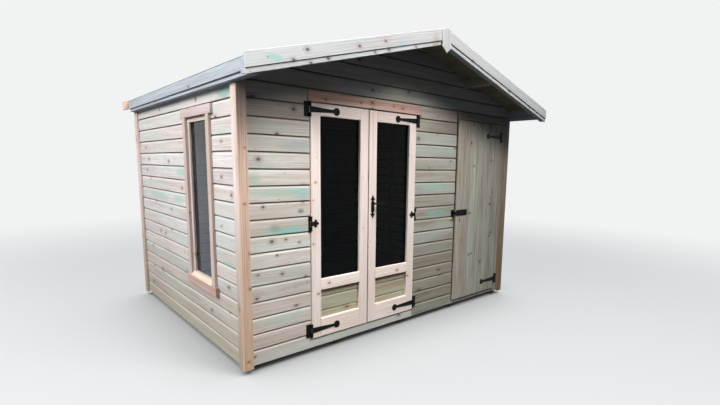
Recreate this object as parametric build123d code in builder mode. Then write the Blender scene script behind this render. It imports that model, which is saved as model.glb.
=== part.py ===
from math import cos, radians, tan
import os

from build123d import *

os.makedirs("parts", exist_ok=True)

# Body of the building, over the outer faces of its cladding
wall_width = 3020.0
wall_depth = 2440.0
eave_rise = 157.0
cladding_thickness = 15.0
cladding_lap = 12.0

# Timber sections
frame_depth = 45.0
stud_width = 45.0
bearer_height = 45.0
bearer_width = 70.0
bearer_count = 5
bearer_setback = 35.0
deck_thickness = 15.0
bay_rail_height = 45.0
wall_head_rise = 11.0
stop_depth = 21.0
stop_width = 15.0

# Roof
roof_pitch = 15.8
roof_board_thickness = 12.0
felt_thickness = 3.0
front_overhang = 362.0
eave_rail_width = 51.0
eave_rail_height = 107.0
fascia_thickness = 12.0
fascia_height = 76.0
barge_thickness = 20.0
barge_width = 82.0
barge_rise = 8.0
barge_end_lap = 52.0
verge_strip_height = 31.0
verge_strip_thickness = 12.0
verge_rafter_depth = 45.0
verge_rafter_height = 88.0
purlin_width = 45.0
purlin_height = 70.0
purlin_offset = 760.0
finial_width = 102.0
finial_thickness = 10.0
finial_shoulder = 142.0
finial_length = 185.0
mitre_gap = 0.5

# Corner and head trims
trim_thickness = 20.0
front_trim_width = 70.0
side_trim_width = 62.0
trim_drop = 15.0
head_trim_height = 70.0
head_trim_left_lap = 16.0
head_trim_right_lap = 52.0
store_head_lap = 8.0
head_trim_clearance = 7.0
store_post_width = 52.0
store_jamb_width = 38.0
store_board_joint = 1.0

# Double doors
double_left = -994.0
double_width = 1080.0
double_sill = 114.0
double_height = 1743.0
door_gap = 6.0
meeting_gap = 10.0
leaf_thickness = 44.0
leaf_proud = 10.0
stile_width = 80.0
top_rail_height = 86.0
middle_rail_height = 83.0
bottom_rail_height = 142.0
lower_panel_height = 224.0
glass_depth = 26.0
rebate_lap = 10.0
glass_thickness = 4.0
panel_thickness = 15.0

# Store door
store_left = 650.0
store_width = 717.0
store_sill = 84.0
store_board_thickness = 15.0
store_ledge_thickness = 25.0
store_ledge_height = 95.0
store_ledge_inset = 25.0
store_ledge_end = 130.0

# Side window
window_setback = 715.0
window_width = 430.0
window_sill_height = 520.0
window_head_gap = 91.0
window_lap = 12.0
window_frame_depth = 44.0
window_stile = 35.0
window_glass_depth = 16.0
window_trim_width = 58.0
window_trim_thickness = 22.0
window_head_height = 67.0
window_head_end = 40.0
window_sill_face = 69.0
window_sill_end = 28.0
window_sill_thickness = 28.0
window_sill_slope = 32.0

# Tee hinges
hinge_plate_width = 40.0
hinge_plate_height = 103.0
hinge_metal = 3.0
hinge_length = 253.0
hinge_end_diameter = 56.0
hinge_root_height = 43.0
hinge_neck_height = 18.0
knuckle_radius = 5.0
knuckle_stand_off = 6.0
knuckle_clearance = 0.4
pin_radius = 2.5
strap_knuckle_height = 46.0
upper_hinge_drop = 46.0
lower_hinge_rise = 65.0
store_upper_hinge_drop = 126.0
store_lower_hinge_rise = 108.0

# Lever handle and pad bolt
handle_height = 1090.0
handle_plate_width = 34.0
handle_plate_height = 92.0
handle_plate_shoulder = 12.0
handle_neck_width = 16.0
handle_neck_height = 9.0
handle_spade_width = 50.0
handle_spade_height = 42.0
handle_metal = 4.0
spindle_rise = 27.0
lever_boss_radius = 11.0
lever_boss_length = 14.0
lever_stand_off = 42.0
lever_radius = 7.0
lever_length = 92.0
lever_clearance = 0.4
bolt_height = 973.0
bolt_plate_width = 168.0
bolt_plate_height = 58.0
bolt_radius = 5.5
bolt_stand_off = 11.0
bolt_clearance = 6.0
keep_width = 24.0
keep_projection = 42.0

# Middle hinges
middle_hinge_height = 996.0
middle_plate_width = 13.0
middle_plate_height = 110.0
middle_neck_height = 24.0
middle_boss_diameter = 34.0
middle_boss_reach = 22.0
middle_lobe_diameter = 22.0
middle_lobe_offset = 19.0
middle_lobe_reach = 38.0
middle_hinge_length = 64.0

# Derived positions
slope = tan(radians(roof_pitch))
half_width = wall_width / 2
half_depth = wall_depth / 2
double_top = double_sill + double_height
wall_head_height = double_top + wall_head_rise
eave_height = wall_head_height + eave_rise
inner_x = half_width - cladding_thickness
inner_y = half_depth - cladding_thickness
deck_top = bearer_height + deck_thickness
cladding_bottom = deck_top - cladding_lap
apex_under = eave_height + half_width * slope
board_rise = roof_board_thickness / cos(radians(roof_pitch))
felt_rise = felt_thickness / cos(radians(roof_pitch))
apex_board = apex_under + board_rise
rail_x = half_width + eave_rail_width
fascia_x = rail_x + fascia_thickness
barge_x = fascia_x + barge_end_lap
roof_front = -half_depth - front_overhang
roof_back = half_depth + trim_thickness
barge_front = roof_front - barge_thickness
apex_barge = apex_board + barge_rise / cos(radians(roof_pitch))
barge_drop = barge_width / cos(radians(roof_pitch))
rafter_drop = verge_rafter_height / cos(radians(roof_pitch))
strip_drop = verge_strip_height / cos(radians(roof_pitch))
double_right = double_left + double_width
leaf_width = (double_width - 2 * door_gap - meeting_gap) / 2
leaf_bottom = double_sill + door_gap
leaf_top = double_top - door_gap
leaf_face = -half_depth - leaf_proud
store_right = store_left + store_width
store_post_left = store_right + store_jamb_width + store_board_joint
store_door_left = store_left + door_gap
store_door_right = store_right - door_gap
store_door_bottom = store_sill + door_gap
store_door_top = wall_head_height - door_gap
store_face = -half_depth - trim_thickness


def under_roof(x):
    return apex_under - abs(x) * slope


def box_between(x0, x1, y0, y1, z0, z1, mode=Mode.ADD):
    with Locations(((x0 + x1) / 2, (y0 + y1) / 2, (z0 + z1) / 2)):
        Box(x1 - x0, y1 - y0, z1 - z0, mode=mode)


def rect_between(u0, u1, v0, v1, mode=Mode.ADD):
    with Locations(((u0 + u1) / 2, (v0 + v1) / 2)):
        Rectangle(u1 - u0, v1 - v0, mode=mode)


def outline(points, mode=Mode.ADD):
    Polygon(*points, align=None, mode=mode)


def roof_strip(x0, x1, top, drop, side=1):
    """Outline of a sloping strip below the line that falls from top at the ridge."""
    outline([
        (side * x0, top - x0 * slope),
        (side * x1, top - x1 * slope),
        (side * x1, top - x1 * slope - drop),
        (side * x0, top - x0 * slope - drop),
    ])


def gable_outline(half, bottom):
    outline([
        (-half, bottom),
        (half, bottom),
        (half, under_roof(half)),
        (0, apex_under),
        (-half, under_roof(half)),
    ])


def purlin_notches():
    for centre in (-purlin_offset, purlin_offset):
        foot = under_roof(centre) - purlin_height
        rect_between(centre - purlin_width / 2, centre + purlin_width / 2, foot, apex_under, Mode.SUBTRACT)
    rect_between(-purlin_width / 2, purlin_width / 2, apex_under - purlin_height, apex_under, Mode.SUBTRACT)


# Floor
with BuildPart() as floor_bearers:
    bearer_span = wall_width - 2 * bearer_setback - bearer_width
    with Locations((0, 0, bearer_height / 2)):
        with GridLocations(bearer_span / (bearer_count - 1), 0, bearer_count, 1):
            Box(bearer_width, wall_depth - 2 * bearer_setback, bearer_height)

with BuildPart() as floor_deck:
    box_between(-inner_x, inner_x, -inner_y, inner_y, bearer_height, deck_top)

# Front wall cladding
front_plane = Plane.XZ.offset(inner_y)
with BuildPart() as front_wall_left:
    with BuildSketch(front_plane):
        rect_between(-half_width, double_left, cladding_bottom, double_top)
    extrude(amount=cladding_thickness)

with BuildPart() as front_wall_middle:
    with BuildSketch(front_plane):
        rect_between(double_right, store_left, cladding_bottom, double_top)
    extrude(amount=cladding_thickness)

with BuildPart() as front_wall_right:
    with BuildSketch(front_plane):
        rect_between(store_right, half_width, cladding_bottom, double_top)
    extrude(amount=cladding_thickness)

with BuildPart() as threshold_boards:
    with BuildSketch(front_plane):
        rect_between(double_left, double_right, cladding_bottom, double_sill)
        rect_between(store_left, store_right, cladding_bottom, store_sill)
    extrude(amount=cladding_thickness)

with BuildPart() as front_gable_wall:
    with BuildSketch(front_plane):
        gable_outline(half_width, double_top)
        rect_between(store_left, store_right, double_top, wall_head_height, Mode.SUBTRACT)
        purlin_notches()
    extrude(amount=cladding_thickness)

# Back wall cladding
with BuildPart() as back_wall:
    with BuildSketch(Plane.XZ.offset(-inner_y)):
        gable_outline(half_width, cladding_bottom)
    extrude(amount=-cladding_thickness)

# Side wall cladding
rail_bottom = eave_height - eave_rail_height
window_height = rail_bottom - window_head_gap - window_head_height - window_sill_height
window_centre = window_setback - half_depth
window_left = window_centre - window_width / 2 - window_lap
window_right = window_centre + window_width / 2 + window_lap
window_bottom = window_sill_height - window_lap
window_top = window_sill_height + window_height + window_lap
with BuildPart() as left_wall:
    with BuildSketch(Plane.YZ.offset(-inner_x)):
        rect_between(-inner_y, inner_y, cladding_bottom, eave_height)
        rect_between(window_left, window_right, window_bottom, window_top, Mode.SUBTRACT)
    extrude(amount=-cladding_thickness)

with BuildPart() as right_wall:
    with BuildSketch(Plane.YZ.offset(inner_x)):
        rect_between(-inner_y, inner_y, cladding_bottom, eave_height)
    extrude(amount=cladding_thickness)

# Wall frames
frame_y = inner_y - frame_depth
frame_x = inner_x - frame_depth
rail_top = deck_top + bay_rail_height
head_rail_top = wall_head_height + bay_rail_height
bay_x = inner_x - stud_width


def gable_bays():
    slope_chord = stud_width / cos(radians(roof_pitch)) + 12
    for side in (-1, 1):
        outline([
            (side * bay_x, head_rail_top),
            (side * stud_width / 2, head_rail_top),
            (side * stud_width / 2, under_roof(stud_width / 2) - purlin_height - slope_chord),
            (side * (purlin_offset - stud_width / 2), under_roof(purlin_offset) - purlin_height - 14),
            (side * (purlin_offset + stud_width / 2), under_roof(purlin_offset) - purlin_height - 14),
            (side * bay_x, under_roof(bay_x) - slope_chord),
        ], Mode.SUBTRACT)


def front_frame_outline(reveal):
    gable_outline(inner_x, deck_top)
    rect_between(-bay_x, double_left - stud_width, rail_top, wall_head_height, Mode.SUBTRACT)
    rect_between(double_right + stud_width, store_left - stud_width, rail_top, wall_head_height, Mode.SUBTRACT)
    rect_between(double_left + reveal, double_right - reveal, deck_top, double_top - reveal, Mode.SUBTRACT)
    rect_between(store_left + reveal, store_right - reveal, deck_top, wall_head_height - reveal, Mode.SUBTRACT)
    gable_bays()
    purlin_notches()


with BuildPart() as front_wall_frame:
    with BuildSketch(Plane.XZ.offset(inner_y - frame_depth)):
        front_frame_outline(stop_width)
    extrude(amount=stop_depth)
    with BuildSketch(Plane.XZ.offset(inner_y - frame_depth + stop_depth)):
        front_frame_outline(0)
    extrude(amount=frame_depth - stop_depth)

with BuildPart() as back_wall_frame:
    with BuildSketch(Plane.XZ.offset(-frame_y)):
        gable_outline(inner_x, deck_top)
        for u0, u1 in (
            (-bay_x, -purlin_offset - stud_width / 2),
            (-purlin_offset + stud_width / 2, -stud_width / 2),
            (stud_width / 2, purlin_offset - stud_width / 2),
            (purlin_offset + stud_width / 2, bay_x),
        ):
            rect_between(u0, u1, rail_top, wall_head_height, Mode.SUBTRACT)
        gable_bays()
        purlin_notches()
    extrude(amount=-frame_depth)

side_frame_top = under_roof(inner_x)
side_rail_bottom = side_frame_top - bay_rail_height
bay_y = frame_y - stud_width
rear_stud = (window_right + stud_width + bay_y) / 2
with BuildPart() as left_wall_frame:
    with BuildSketch(Plane.YZ.offset(-frame_x)):
        rect_between(-frame_y, frame_y, deck_top, side_frame_top)
        rect_between(-bay_y, window_left - stud_width, rail_top, side_rail_bottom, Mode.SUBTRACT)
        rect_between(window_left, window_right, window_bottom, window_top, Mode.SUBTRACT)
        rect_between(window_left, window_right, rail_top, window_bottom - stud_width, Mode.SUBTRACT)
        rect_between(window_left, window_right, window_top + stud_width, side_rail_bottom, Mode.SUBTRACT)
        rect_between(
            window_right + stud_width, rear_stud - stud_width / 2, rail_top, side_rail_bottom, Mode.SUBTRACT
        )
        rect_between(rear_stud + stud_width / 2, bay_y, rail_top, side_rail_bottom, Mode.SUBTRACT)
    extrude(amount=-frame_depth)

side_bays = 4
side_bay = (2 * bay_y - (side_bays - 1) * stud_width) / side_bays
with BuildPart() as right_wall_frame:
    with BuildSketch(Plane.YZ.offset(frame_x)):
        rect_between(-frame_y, frame_y, deck_top, side_frame_top)
        with Locations((0, (rail_top + side_rail_bottom) / 2)):
            with GridLocations(side_bay + stud_width, 0, side_bays, 1):
                Rectangle(side_bay, side_rail_bottom - rail_top, mode=Mode.SUBTRACT)
    extrude(amount=frame_depth)

# Corner boards
trim_bottom = cladding_bottom - trim_drop
trim_x = half_width + trim_thickness
trim_y = half_depth + trim_thickness
with BuildPart() as front_corner_boards:
    box_between(-trim_x, front_trim_width - trim_x, -trim_y, -half_depth, trim_bottom, rail_bottom)
    box_between(trim_x - front_trim_width, trim_x, -trim_y, -half_depth, trim_bottom, rail_bottom)
    for x0, width in ((store_right, store_jamb_width), (store_post_left, store_post_width)):
        box_between(x0, x0 + width, -trim_y, -half_depth, cladding_bottom, store_door_top)

with BuildPart() as back_corner_boards:
    box_between(-trim_x, front_trim_width - trim_x, half_depth, trim_y, trim_bottom, rail_bottom)
    box_between(trim_x - front_trim_width, trim_x, half_depth, trim_y, trim_bottom, rail_bottom)

with BuildPart() as side_corner_boards:
    for x0, x1 in ((-trim_x, -half_width), (half_width, trim_x)):
        for y0, y1 in ((-half_depth, side_trim_width - half_depth), (half_depth - side_trim_width, half_depth)):
            box_between(x0, x1, y0, y1, trim_bottom, rail_bottom)

with BuildPart() as door_head_trims:
    for x0, x1, foot in (
        (double_left - head_trim_left_lap, double_right + head_trim_right_lap, leaf_top + head_trim_clearance),
        (store_left - store_head_lap, store_post_left + store_post_width, store_door_top + head_trim_clearance),
    ):
        box_between(x0, x1, -trim_y, -half_depth, foot, foot + head_trim_height)

# Window in the left wall
trim_face_x = -half_width - window_trim_thickness
with BuildPart() as window_frame:
    with BuildSketch(Plane.YZ.offset(-half_width)):
        rect_between(window_left, window_right, window_bottom, window_top)
        with Locations((window_centre, window_sill_height + window_height / 2)):
            Rectangle(window_width - 2 * window_stile, window_height - 2 * window_stile, mode=Mode.SUBTRACT)
    extrude(amount=window_frame_depth)
    with BuildSketch(Plane.YZ.offset(-half_width + window_glass_depth)):
        with Locations((window_centre, window_sill_height + window_height / 2)):
            Rectangle(
                window_width - 2 * window_stile + 2 * rebate_lap,
                window_height - 2 * window_stile + 2 * rebate_lap,
            )
    extrude(amount=window_frame_depth - window_glass_depth, mode=Mode.SUBTRACT)
    pane_left = window_centre - window_width / 2 + window_stile
    pane_foot = window_sill_height + window_stile
    sill_rise = tan(radians(window_sill_slope))
    with BuildSketch(Plane.XZ.offset(-pane_left)):
        outline([
            (-half_width, pane_foot),
            (-half_width, pane_foot - window_glass_depth * sill_rise),
            (-half_width + window_glass_depth, pane_foot),
        ])
    extrude(amount=-(window_width - 2 * window_stile), mode=Mode.SUBTRACT)

with BuildPart() as window_glass:
    with BuildSketch(Plane.YZ.offset(-half_width + window_glass_depth)):
        with Locations((window_centre, window_sill_height + window_height / 2)):
            Rectangle(
                window_width - 2 * window_stile + 2 * rebate_lap,
                window_height - 2 * window_stile + 2 * rebate_lap,
            )
    extrude(amount=glass_thickness)

window_outer = window_width / 2 + window_trim_width
window_head_z = window_sill_height + window_height
with BuildPart() as window_side_trims:
    for side in (-1, 1):
        inner = window_centre + side * window_width / 2
        outer = window_centre + side * window_outer
        box_between(
            trim_face_x, -half_width, min(inner, outer), max(inner, outer), window_sill_height, window_head_z
        )

with BuildPart() as window_head_trim:
    box_between(
        trim_face_x, -half_width,
        window_centre - window_outer - window_head_end, window_centre + window_outer + window_head_end,
        window_head_z, window_head_z + window_head_height,
    )

with BuildPart() as window_sill:
    box_between(
        -half_width - window_sill_thickness, -half_width,
        window_centre - window_outer - window_sill_end, window_centre + window_outer + window_sill_end,
        window_sill_height - window_sill_face, window_sill_height,
    )
    with BuildSketch(Plane.XZ.offset(window_width / 2 - window_centre)):
        outline([
            (-half_width, window_sill_height),
            (-half_width, pane_foot - window_glass_depth * sill_rise),
            (-half_width - window_sill_thickness, window_sill_height),
        ])
    extrude(amount=-window_width)

# Roof boards and felt
with BuildPart() as roof_boards_left:
    with BuildSketch(Plane.XZ.offset(-roof_back)):
        roof_strip(0, rail_x, apex_board, board_rise, -1)
    extrude(amount=roof_back - roof_front)

with BuildPart() as roof_boards_right:
    with BuildSketch(Plane.XZ.offset(-roof_back)):
        roof_strip(0, rail_x, apex_board, board_rise, 1)
    extrude(amount=roof_back - roof_front)

with BuildPart() as roof_felt_left:
    with BuildSketch(Plane.XZ.offset(-roof_back)):
        roof_strip(0, fascia_x, apex_board + felt_rise, felt_rise, -1)
    extrude(amount=roof_back - roof_front)

with BuildPart() as roof_felt_right:
    with BuildSketch(Plane.XZ.offset(-roof_back)):
        roof_strip(0, fascia_x, apex_board + felt_rise, felt_rise, 1)
    extrude(amount=roof_back - roof_front)

# Roof timbers
purlin_front = roof_front + verge_rafter_depth
with BuildPart() as purlins:
    with BuildSketch(Plane.XZ.offset(-inner_y)):
        for centre in (-purlin_offset, purlin_offset):
            foot = under_roof(centre) - purlin_height
            x0 = centre - purlin_width / 2
            x1 = centre + purlin_width / 2
            outline([(x0, foot), (x1, foot), (x1, under_roof(x1)), (x0, under_roof(x0))])
        outline([
            (-purlin_width / 2, apex_under - purlin_height),
            (purlin_width / 2, apex_under - purlin_height),
            (purlin_width / 2, under_roof(purlin_width / 2)),
            (0, apex_under),
            (-purlin_width / 2, under_roof(purlin_width / 2)),
        ])
    extrude(amount=inner_y - purlin_front)

with BuildPart() as eave_rails:
    with BuildSketch(Plane.XZ.offset(-roof_back)):
        for side in (-1, 1):
            outline([
                (side * half_width, rail_bottom),
                (side * rail_x, rail_bottom),
                (side * rail_x, under_roof(rail_x)),
                (side * half_width, under_roof(half_width)),
            ])
    extrude(amount=roof_back - purlin_front)

with BuildPart() as verge_rafters:
    with BuildSketch(Plane.XZ.offset(-purlin_front)):
        for side in (-1, 1):
            roof_strip(mitre_gap / 2, barge_x, apex_under, rafter_drop, side)
    extrude(amount=verge_rafter_depth)

with BuildPart() as fascia_boards:
    with BuildSketch(Plane.XZ.offset(-roof_back)):
        for side in (-1, 1):
            fascia_bottom = apex_board - fascia_x * slope - fascia_height
            outline([
                (side * rail_x, fascia_bottom),
                (side * fascia_x, fascia_bottom),
                (side * fascia_x, apex_board - fascia_x * slope),
                (side * rail_x, apex_board - rail_x * slope),
            ])
    extrude(amount=roof_back - purlin_front)

with BuildPart() as front_bargeboards:
    with BuildSketch(Plane.XZ.offset(-roof_front)):
        for side in (-1, 1):
            roof_strip(mitre_gap / 2, barge_x, apex_barge, barge_drop, side)
    extrude(amount=barge_thickness)
    # Cover strip under each board, over the rafter's face
    with BuildSketch(Plane.XZ.offset(-roof_front)):
        for side in (-1, 1):
            roof_strip(mitre_gap / 2, barge_x, apex_barge - barge_drop, strip_drop, side)
    extrude(amount=verge_strip_thickness)

with BuildPart() as back_bargeboards:
    with BuildSketch(Plane.XZ.offset(-roof_back)):
        for side in (-1, 1):
            roof_strip(mitre_gap / 2, barge_x, apex_barge, barge_drop, side)
    extrude(amount=-barge_thickness)


def finial_outline():
    reach = finial_width / 2
    outline([
        (0, apex_barge),
        (reach, apex_barge - reach * slope),
        (reach, apex_barge - finial_shoulder),
        (0, apex_barge - finial_length),
        (-reach, apex_barge - finial_shoulder),
        (-reach, apex_barge - reach * slope),
    ])


with BuildPart() as finials:
    with BuildSketch(Plane.XZ.offset(-barge_front)):
        finial_outline()
    extrude(amount=finial_thickness)
    with BuildSketch(Plane.XZ.offset(-roof_back - barge_thickness)):
        finial_outline()
    extrude(amount=-finial_thickness)

# Double door leaves
panel_z0 = leaf_bottom + bottom_rail_height
panel_z1 = panel_z0 + lower_panel_height
pane_z0 = panel_z1 + middle_rail_height
pane_z1 = leaf_top - top_rail_height
left_leaf_x = double_left + door_gap
right_leaf_x = double_right - door_gap - leaf_width


def leaf_sight(x, grow, mode=Mode.ADD):
    for z0, z1 in ((panel_z0, panel_z1), (pane_z0, pane_z1)):
        rect_between(x + stile_width - grow, x + leaf_width - stile_width + grow, z0 - grow, z1 + grow, mode)


def leaf_frame(x):
    with BuildPart() as frame:
        with BuildSketch(Plane.XZ.offset(-leaf_face)):
            rect_between(x, x + leaf_width, leaf_bottom, leaf_top)
            leaf_sight(x, 0, Mode.SUBTRACT)
        extrude(amount=-leaf_thickness)
        with BuildSketch(Plane.XZ.offset(-leaf_face - glass_depth)):
            leaf_sight(x, rebate_lap)
        extrude(amount=glass_depth - leaf_thickness, mode=Mode.SUBTRACT)
    return frame


def leaf_infill(x, z0, z1, thickness):
    with BuildPart() as infill:
        with BuildSketch(Plane.XZ.offset(-leaf_face - glass_depth)):
            rect_between(
                x + stile_width - rebate_lap, x + leaf_width - stile_width + rebate_lap,
                z0 - rebate_lap, z1 + rebate_lap,
            )
        extrude(amount=-thickness)
    return infill


left_door_frame = leaf_frame(left_leaf_x)
left_door_glass = leaf_infill(left_leaf_x, pane_z0, pane_z1, glass_thickness)
left_door_panel = leaf_infill(left_leaf_x, panel_z0, panel_z1, panel_thickness)
right_door_frame = leaf_frame(right_leaf_x)
right_door_glass = leaf_infill(right_leaf_x, pane_z0, pane_z1, glass_thickness)
right_door_panel = leaf_infill(right_leaf_x, panel_z0, panel_z1, panel_thickness)

# Store door
store_board_back = store_face + store_board_thickness
with BuildPart() as store_door_boards:
    box_between(
        store_door_left, store_door_right, store_face, store_board_back, store_door_bottom, store_door_top
    )

with BuildPart() as store_door_ledges:
    middle_ledge = (store_door_bottom + store_door_top) / 2
    for centre in (
        store_door_bottom + store_ledge_end + store_ledge_height / 2,
        middle_ledge,
        store_door_top - store_ledge_end - store_ledge_height / 2,
    ):
        box_between(
            store_door_left + store_ledge_inset, store_door_right - store_ledge_inset,
            store_board_back, store_board_back + store_ledge_thickness,
            centre - store_ledge_height / 2, centre + store_ledge_height / 2,
        )


# Hinges
left_axis_x = double_left + door_gap / 2
right_axis_x = double_right - door_gap / 2
store_axis_x = store_right - door_gap / 2
leaf_axis_y = leaf_face - knuckle_stand_off
store_axis_y = store_face - knuckle_stand_off
leaf_hinge_z = (leaf_top - upper_hinge_drop, leaf_bottom + lower_hinge_rise)
store_hinge_z = (store_door_top - store_upper_hinge_drop, store_door_bottom + store_lower_hinge_rise)


def strap_outline(axis_x, side, z):
    """Tapered blade of a tee hinge with its round end."""
    reach = side * (hinge_length - hinge_end_diameter / 2)
    outline([
        (axis_x, z + hinge_root_height / 2),
        (axis_x + reach, z + hinge_neck_height / 2),
        (axis_x + reach, z - hinge_neck_height / 2),
        (axis_x, z - hinge_root_height / 2),
    ])
    with Locations((axis_x + reach, z)):
        Circle(hinge_end_diameter / 2)


def flower_outline(axis_x, side, z):
    """Short flag of a middle hinge: a boss that ends in three lobes."""
    radius = middle_lobe_diameter / 2
    tip = axis_x + side * (middle_hinge_length - radius)
    rect_between(min(axis_x, tip), max(axis_x, tip), z - middle_neck_height / 2, z + middle_neck_height / 2)
    lobe_x = axis_x + side * middle_lobe_reach
    with Locations((tip, z), (lobe_x, z - middle_lobe_offset), (lobe_x, z + middle_lobe_offset)):
        Circle(radius)
    with Locations((axis_x + side * middle_boss_reach, z)):
        Circle(middle_boss_diameter / 2)


def moving_flaps(axis_x, face_y, side, flaps):
    """Hinge parts that turn with a door: each one a flat flap and the knuckle on its root."""
    axis_y = face_y - knuckle_stand_off
    root = axis_x + side * knuckle_radius
    with BuildPart() as hinge:
        for z, flap_outline in flaps:
            foot = z - strap_knuckle_height / 2
            with BuildSketch(Plane.XZ.offset(-face_y)):
                flap_outline(axis_x, side, z)
            extrude(amount=hinge_metal)
            with BuildSketch(Plane.XY.offset(foot)):
                with Locations((axis_x, axis_y)):
                    Circle(knuckle_radius)
                rect_between(min(axis_x, root), max(axis_x, root), axis_y, face_y)
            extrude(amount=strap_knuckle_height)
            with BuildSketch(Plane.XY.offset(foot)):
                with Locations((axis_x, axis_y)):
                    Circle(pin_radius + knuckle_clearance)
            extrude(amount=strap_knuckle_height, mode=Mode.SUBTRACT)
    return hinge


tee_flaps = [(z, strap_outline) for z in leaf_hinge_z]
leaf_flaps = tee_flaps + [(middle_hinge_height, flower_outline)]
left_door_hinges = moving_flaps(left_axis_x, leaf_face, 1, leaf_flaps)
right_door_hinges = moving_flaps(right_axis_x, leaf_face, -1, leaf_flaps)
store_door_hinges = moving_flaps(store_axis_x, store_face, -1, [(z, strap_outline) for z in store_hinge_z])

plate_gap = strap_knuckle_height / 2 + knuckle_clearance
tee_plate = (hinge_plate_width, hinge_plate_height)
leaf_plates = [(z, tee_plate) for z in leaf_hinge_z]
leaf_plates.append((middle_hinge_height, (middle_plate_width, middle_plate_height)))
with BuildPart() as hinge_plates:
    for axis_x, axis_y, wall_y, side, plates in (
        (left_axis_x, leaf_axis_y, -half_depth, -1, leaf_plates),
        (right_axis_x, leaf_axis_y, -half_depth, 1, leaf_plates),
        (store_axis_x, store_axis_y, store_face, 1, [(z, tee_plate) for z in store_hinge_z]),
    ):
        edge = axis_x + side * (knuckle_radius + 1)
        web = edge + side * hinge_metal
        for z, (width, height) in plates:
            far = edge + side * width
            foot = z - height / 2
            knuckle_height = height / 2 - plate_gap
            box_between(min(edge, far), max(edge, far), wall_y - hinge_metal, wall_y, foot, foot + height)
            for knuckle_foot in (foot, z + plate_gap):
                with BuildSketch(Plane.XY.offset(knuckle_foot)):
                    with Locations((axis_x, axis_y)):
                        Circle(knuckle_radius)
                    rect_between(min(axis_x, web), max(axis_x, web), axis_y - knuckle_radius, axis_y - 2)
                    rect_between(min(edge, web), max(edge, web), axis_y - knuckle_radius, wall_y)
                extrude(amount=knuckle_height)
            with BuildSketch(Plane.XY.offset(foot)):
                with Locations((axis_x, axis_y)):
                    Circle(pin_radius)
            extrude(amount=height)

# Lever handle on the right leaf
handle_x = right_leaf_x + stile_width / 2


def handle_outline():
    """Long plate with shoulders, a neck at each end and a spade beyond it."""
    half_plate = handle_plate_height / 2
    spade_root = half_plate + handle_neck_height
    upper_side = [
        (handle_plate_width / 2, half_plate - handle_plate_shoulder),
        (handle_neck_width / 2, half_plate),
        (handle_neck_width / 2, spade_root),
        (handle_spade_width / 2, spade_root + handle_spade_height * 0.05),
        (handle_spade_width / 4, spade_root + handle_spade_height * 0.4),
    ]
    right_side = [(x, -z) for x, z in reversed(upper_side)] + upper_side
    loop = [(0, -spade_root - handle_spade_height)]
    loop += right_side
    loop.append((0, spade_root + handle_spade_height))
    loop += [(-x, z) for x, z in reversed(right_side)]
    outline([(handle_x + x, handle_height + z) for x, z in loop])


with BuildPart() as door_handle_plate:
    with BuildSketch(Plane.XZ.offset(-leaf_face)):
        handle_outline()
    extrude(amount=handle_metal)

lever_back = leaf_face - handle_metal - lever_clearance
with BuildPart() as door_lever:
    with BuildSketch(Plane.XZ.offset(-lever_back)):
        with Locations((handle_x, handle_height + spindle_rise)):
            Circle(lever_boss_radius)
    extrude(amount=lever_boss_length)
    with BuildSketch(Plane.XZ.offset(-lever_back)):
        with Locations((handle_x, handle_height + spindle_rise)):
            Circle(lever_radius)
    extrude(amount=lever_stand_off)
    with BuildSketch(Plane.YZ.offset(handle_x)):
        with Locations((lever_back - lever_stand_off, handle_height + spindle_rise)):
            Circle(lever_radius)
    extrude(amount=lever_length)

# Pad bolt on the store door and its keep on the wall
bolt_axis_y = store_face - bolt_stand_off
with BuildPart() as store_door_bolt:
    with BuildSketch(Plane.XZ.offset(-store_face)):
        rect_between(
            store_door_left + 4, store_door_left + 4 + bolt_plate_width,
            bolt_height - bolt_plate_height / 2, bolt_height + bolt_plate_height / 2,
        )
    extrude(amount=hinge_metal)
    with BuildSketch(Plane.YZ.offset(store_left)):
        with Locations((bolt_axis_y, bolt_height)):
            Circle(bolt_radius)
    extrude(amount=bolt_plate_width)
    box_between(
        store_door_left + 30, store_door_left + 50, bolt_axis_y - bolt_radius - 3, store_face,
        bolt_height - 11, bolt_height + 11,
    )
    box_between(
        store_door_left + 120, store_door_left + 140, bolt_axis_y - bolt_radius - 3, store_face,
        bolt_height - 11, bolt_height + 11,
    )

with BuildPart() as bolt_keep:
    keep_right = store_left - bolt_clearance
    box_between(
        keep_right - 40, keep_right, -half_depth - hinge_metal, -half_depth,
        bolt_height - bolt_plate_height / 2, bolt_height + bolt_plate_height / 2,
    )
    box_between(
        keep_right - keep_width, keep_right, -half_depth - keep_projection, -half_depth - hinge_metal,
        bolt_height - 14, bolt_height + 14,
    )

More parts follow.
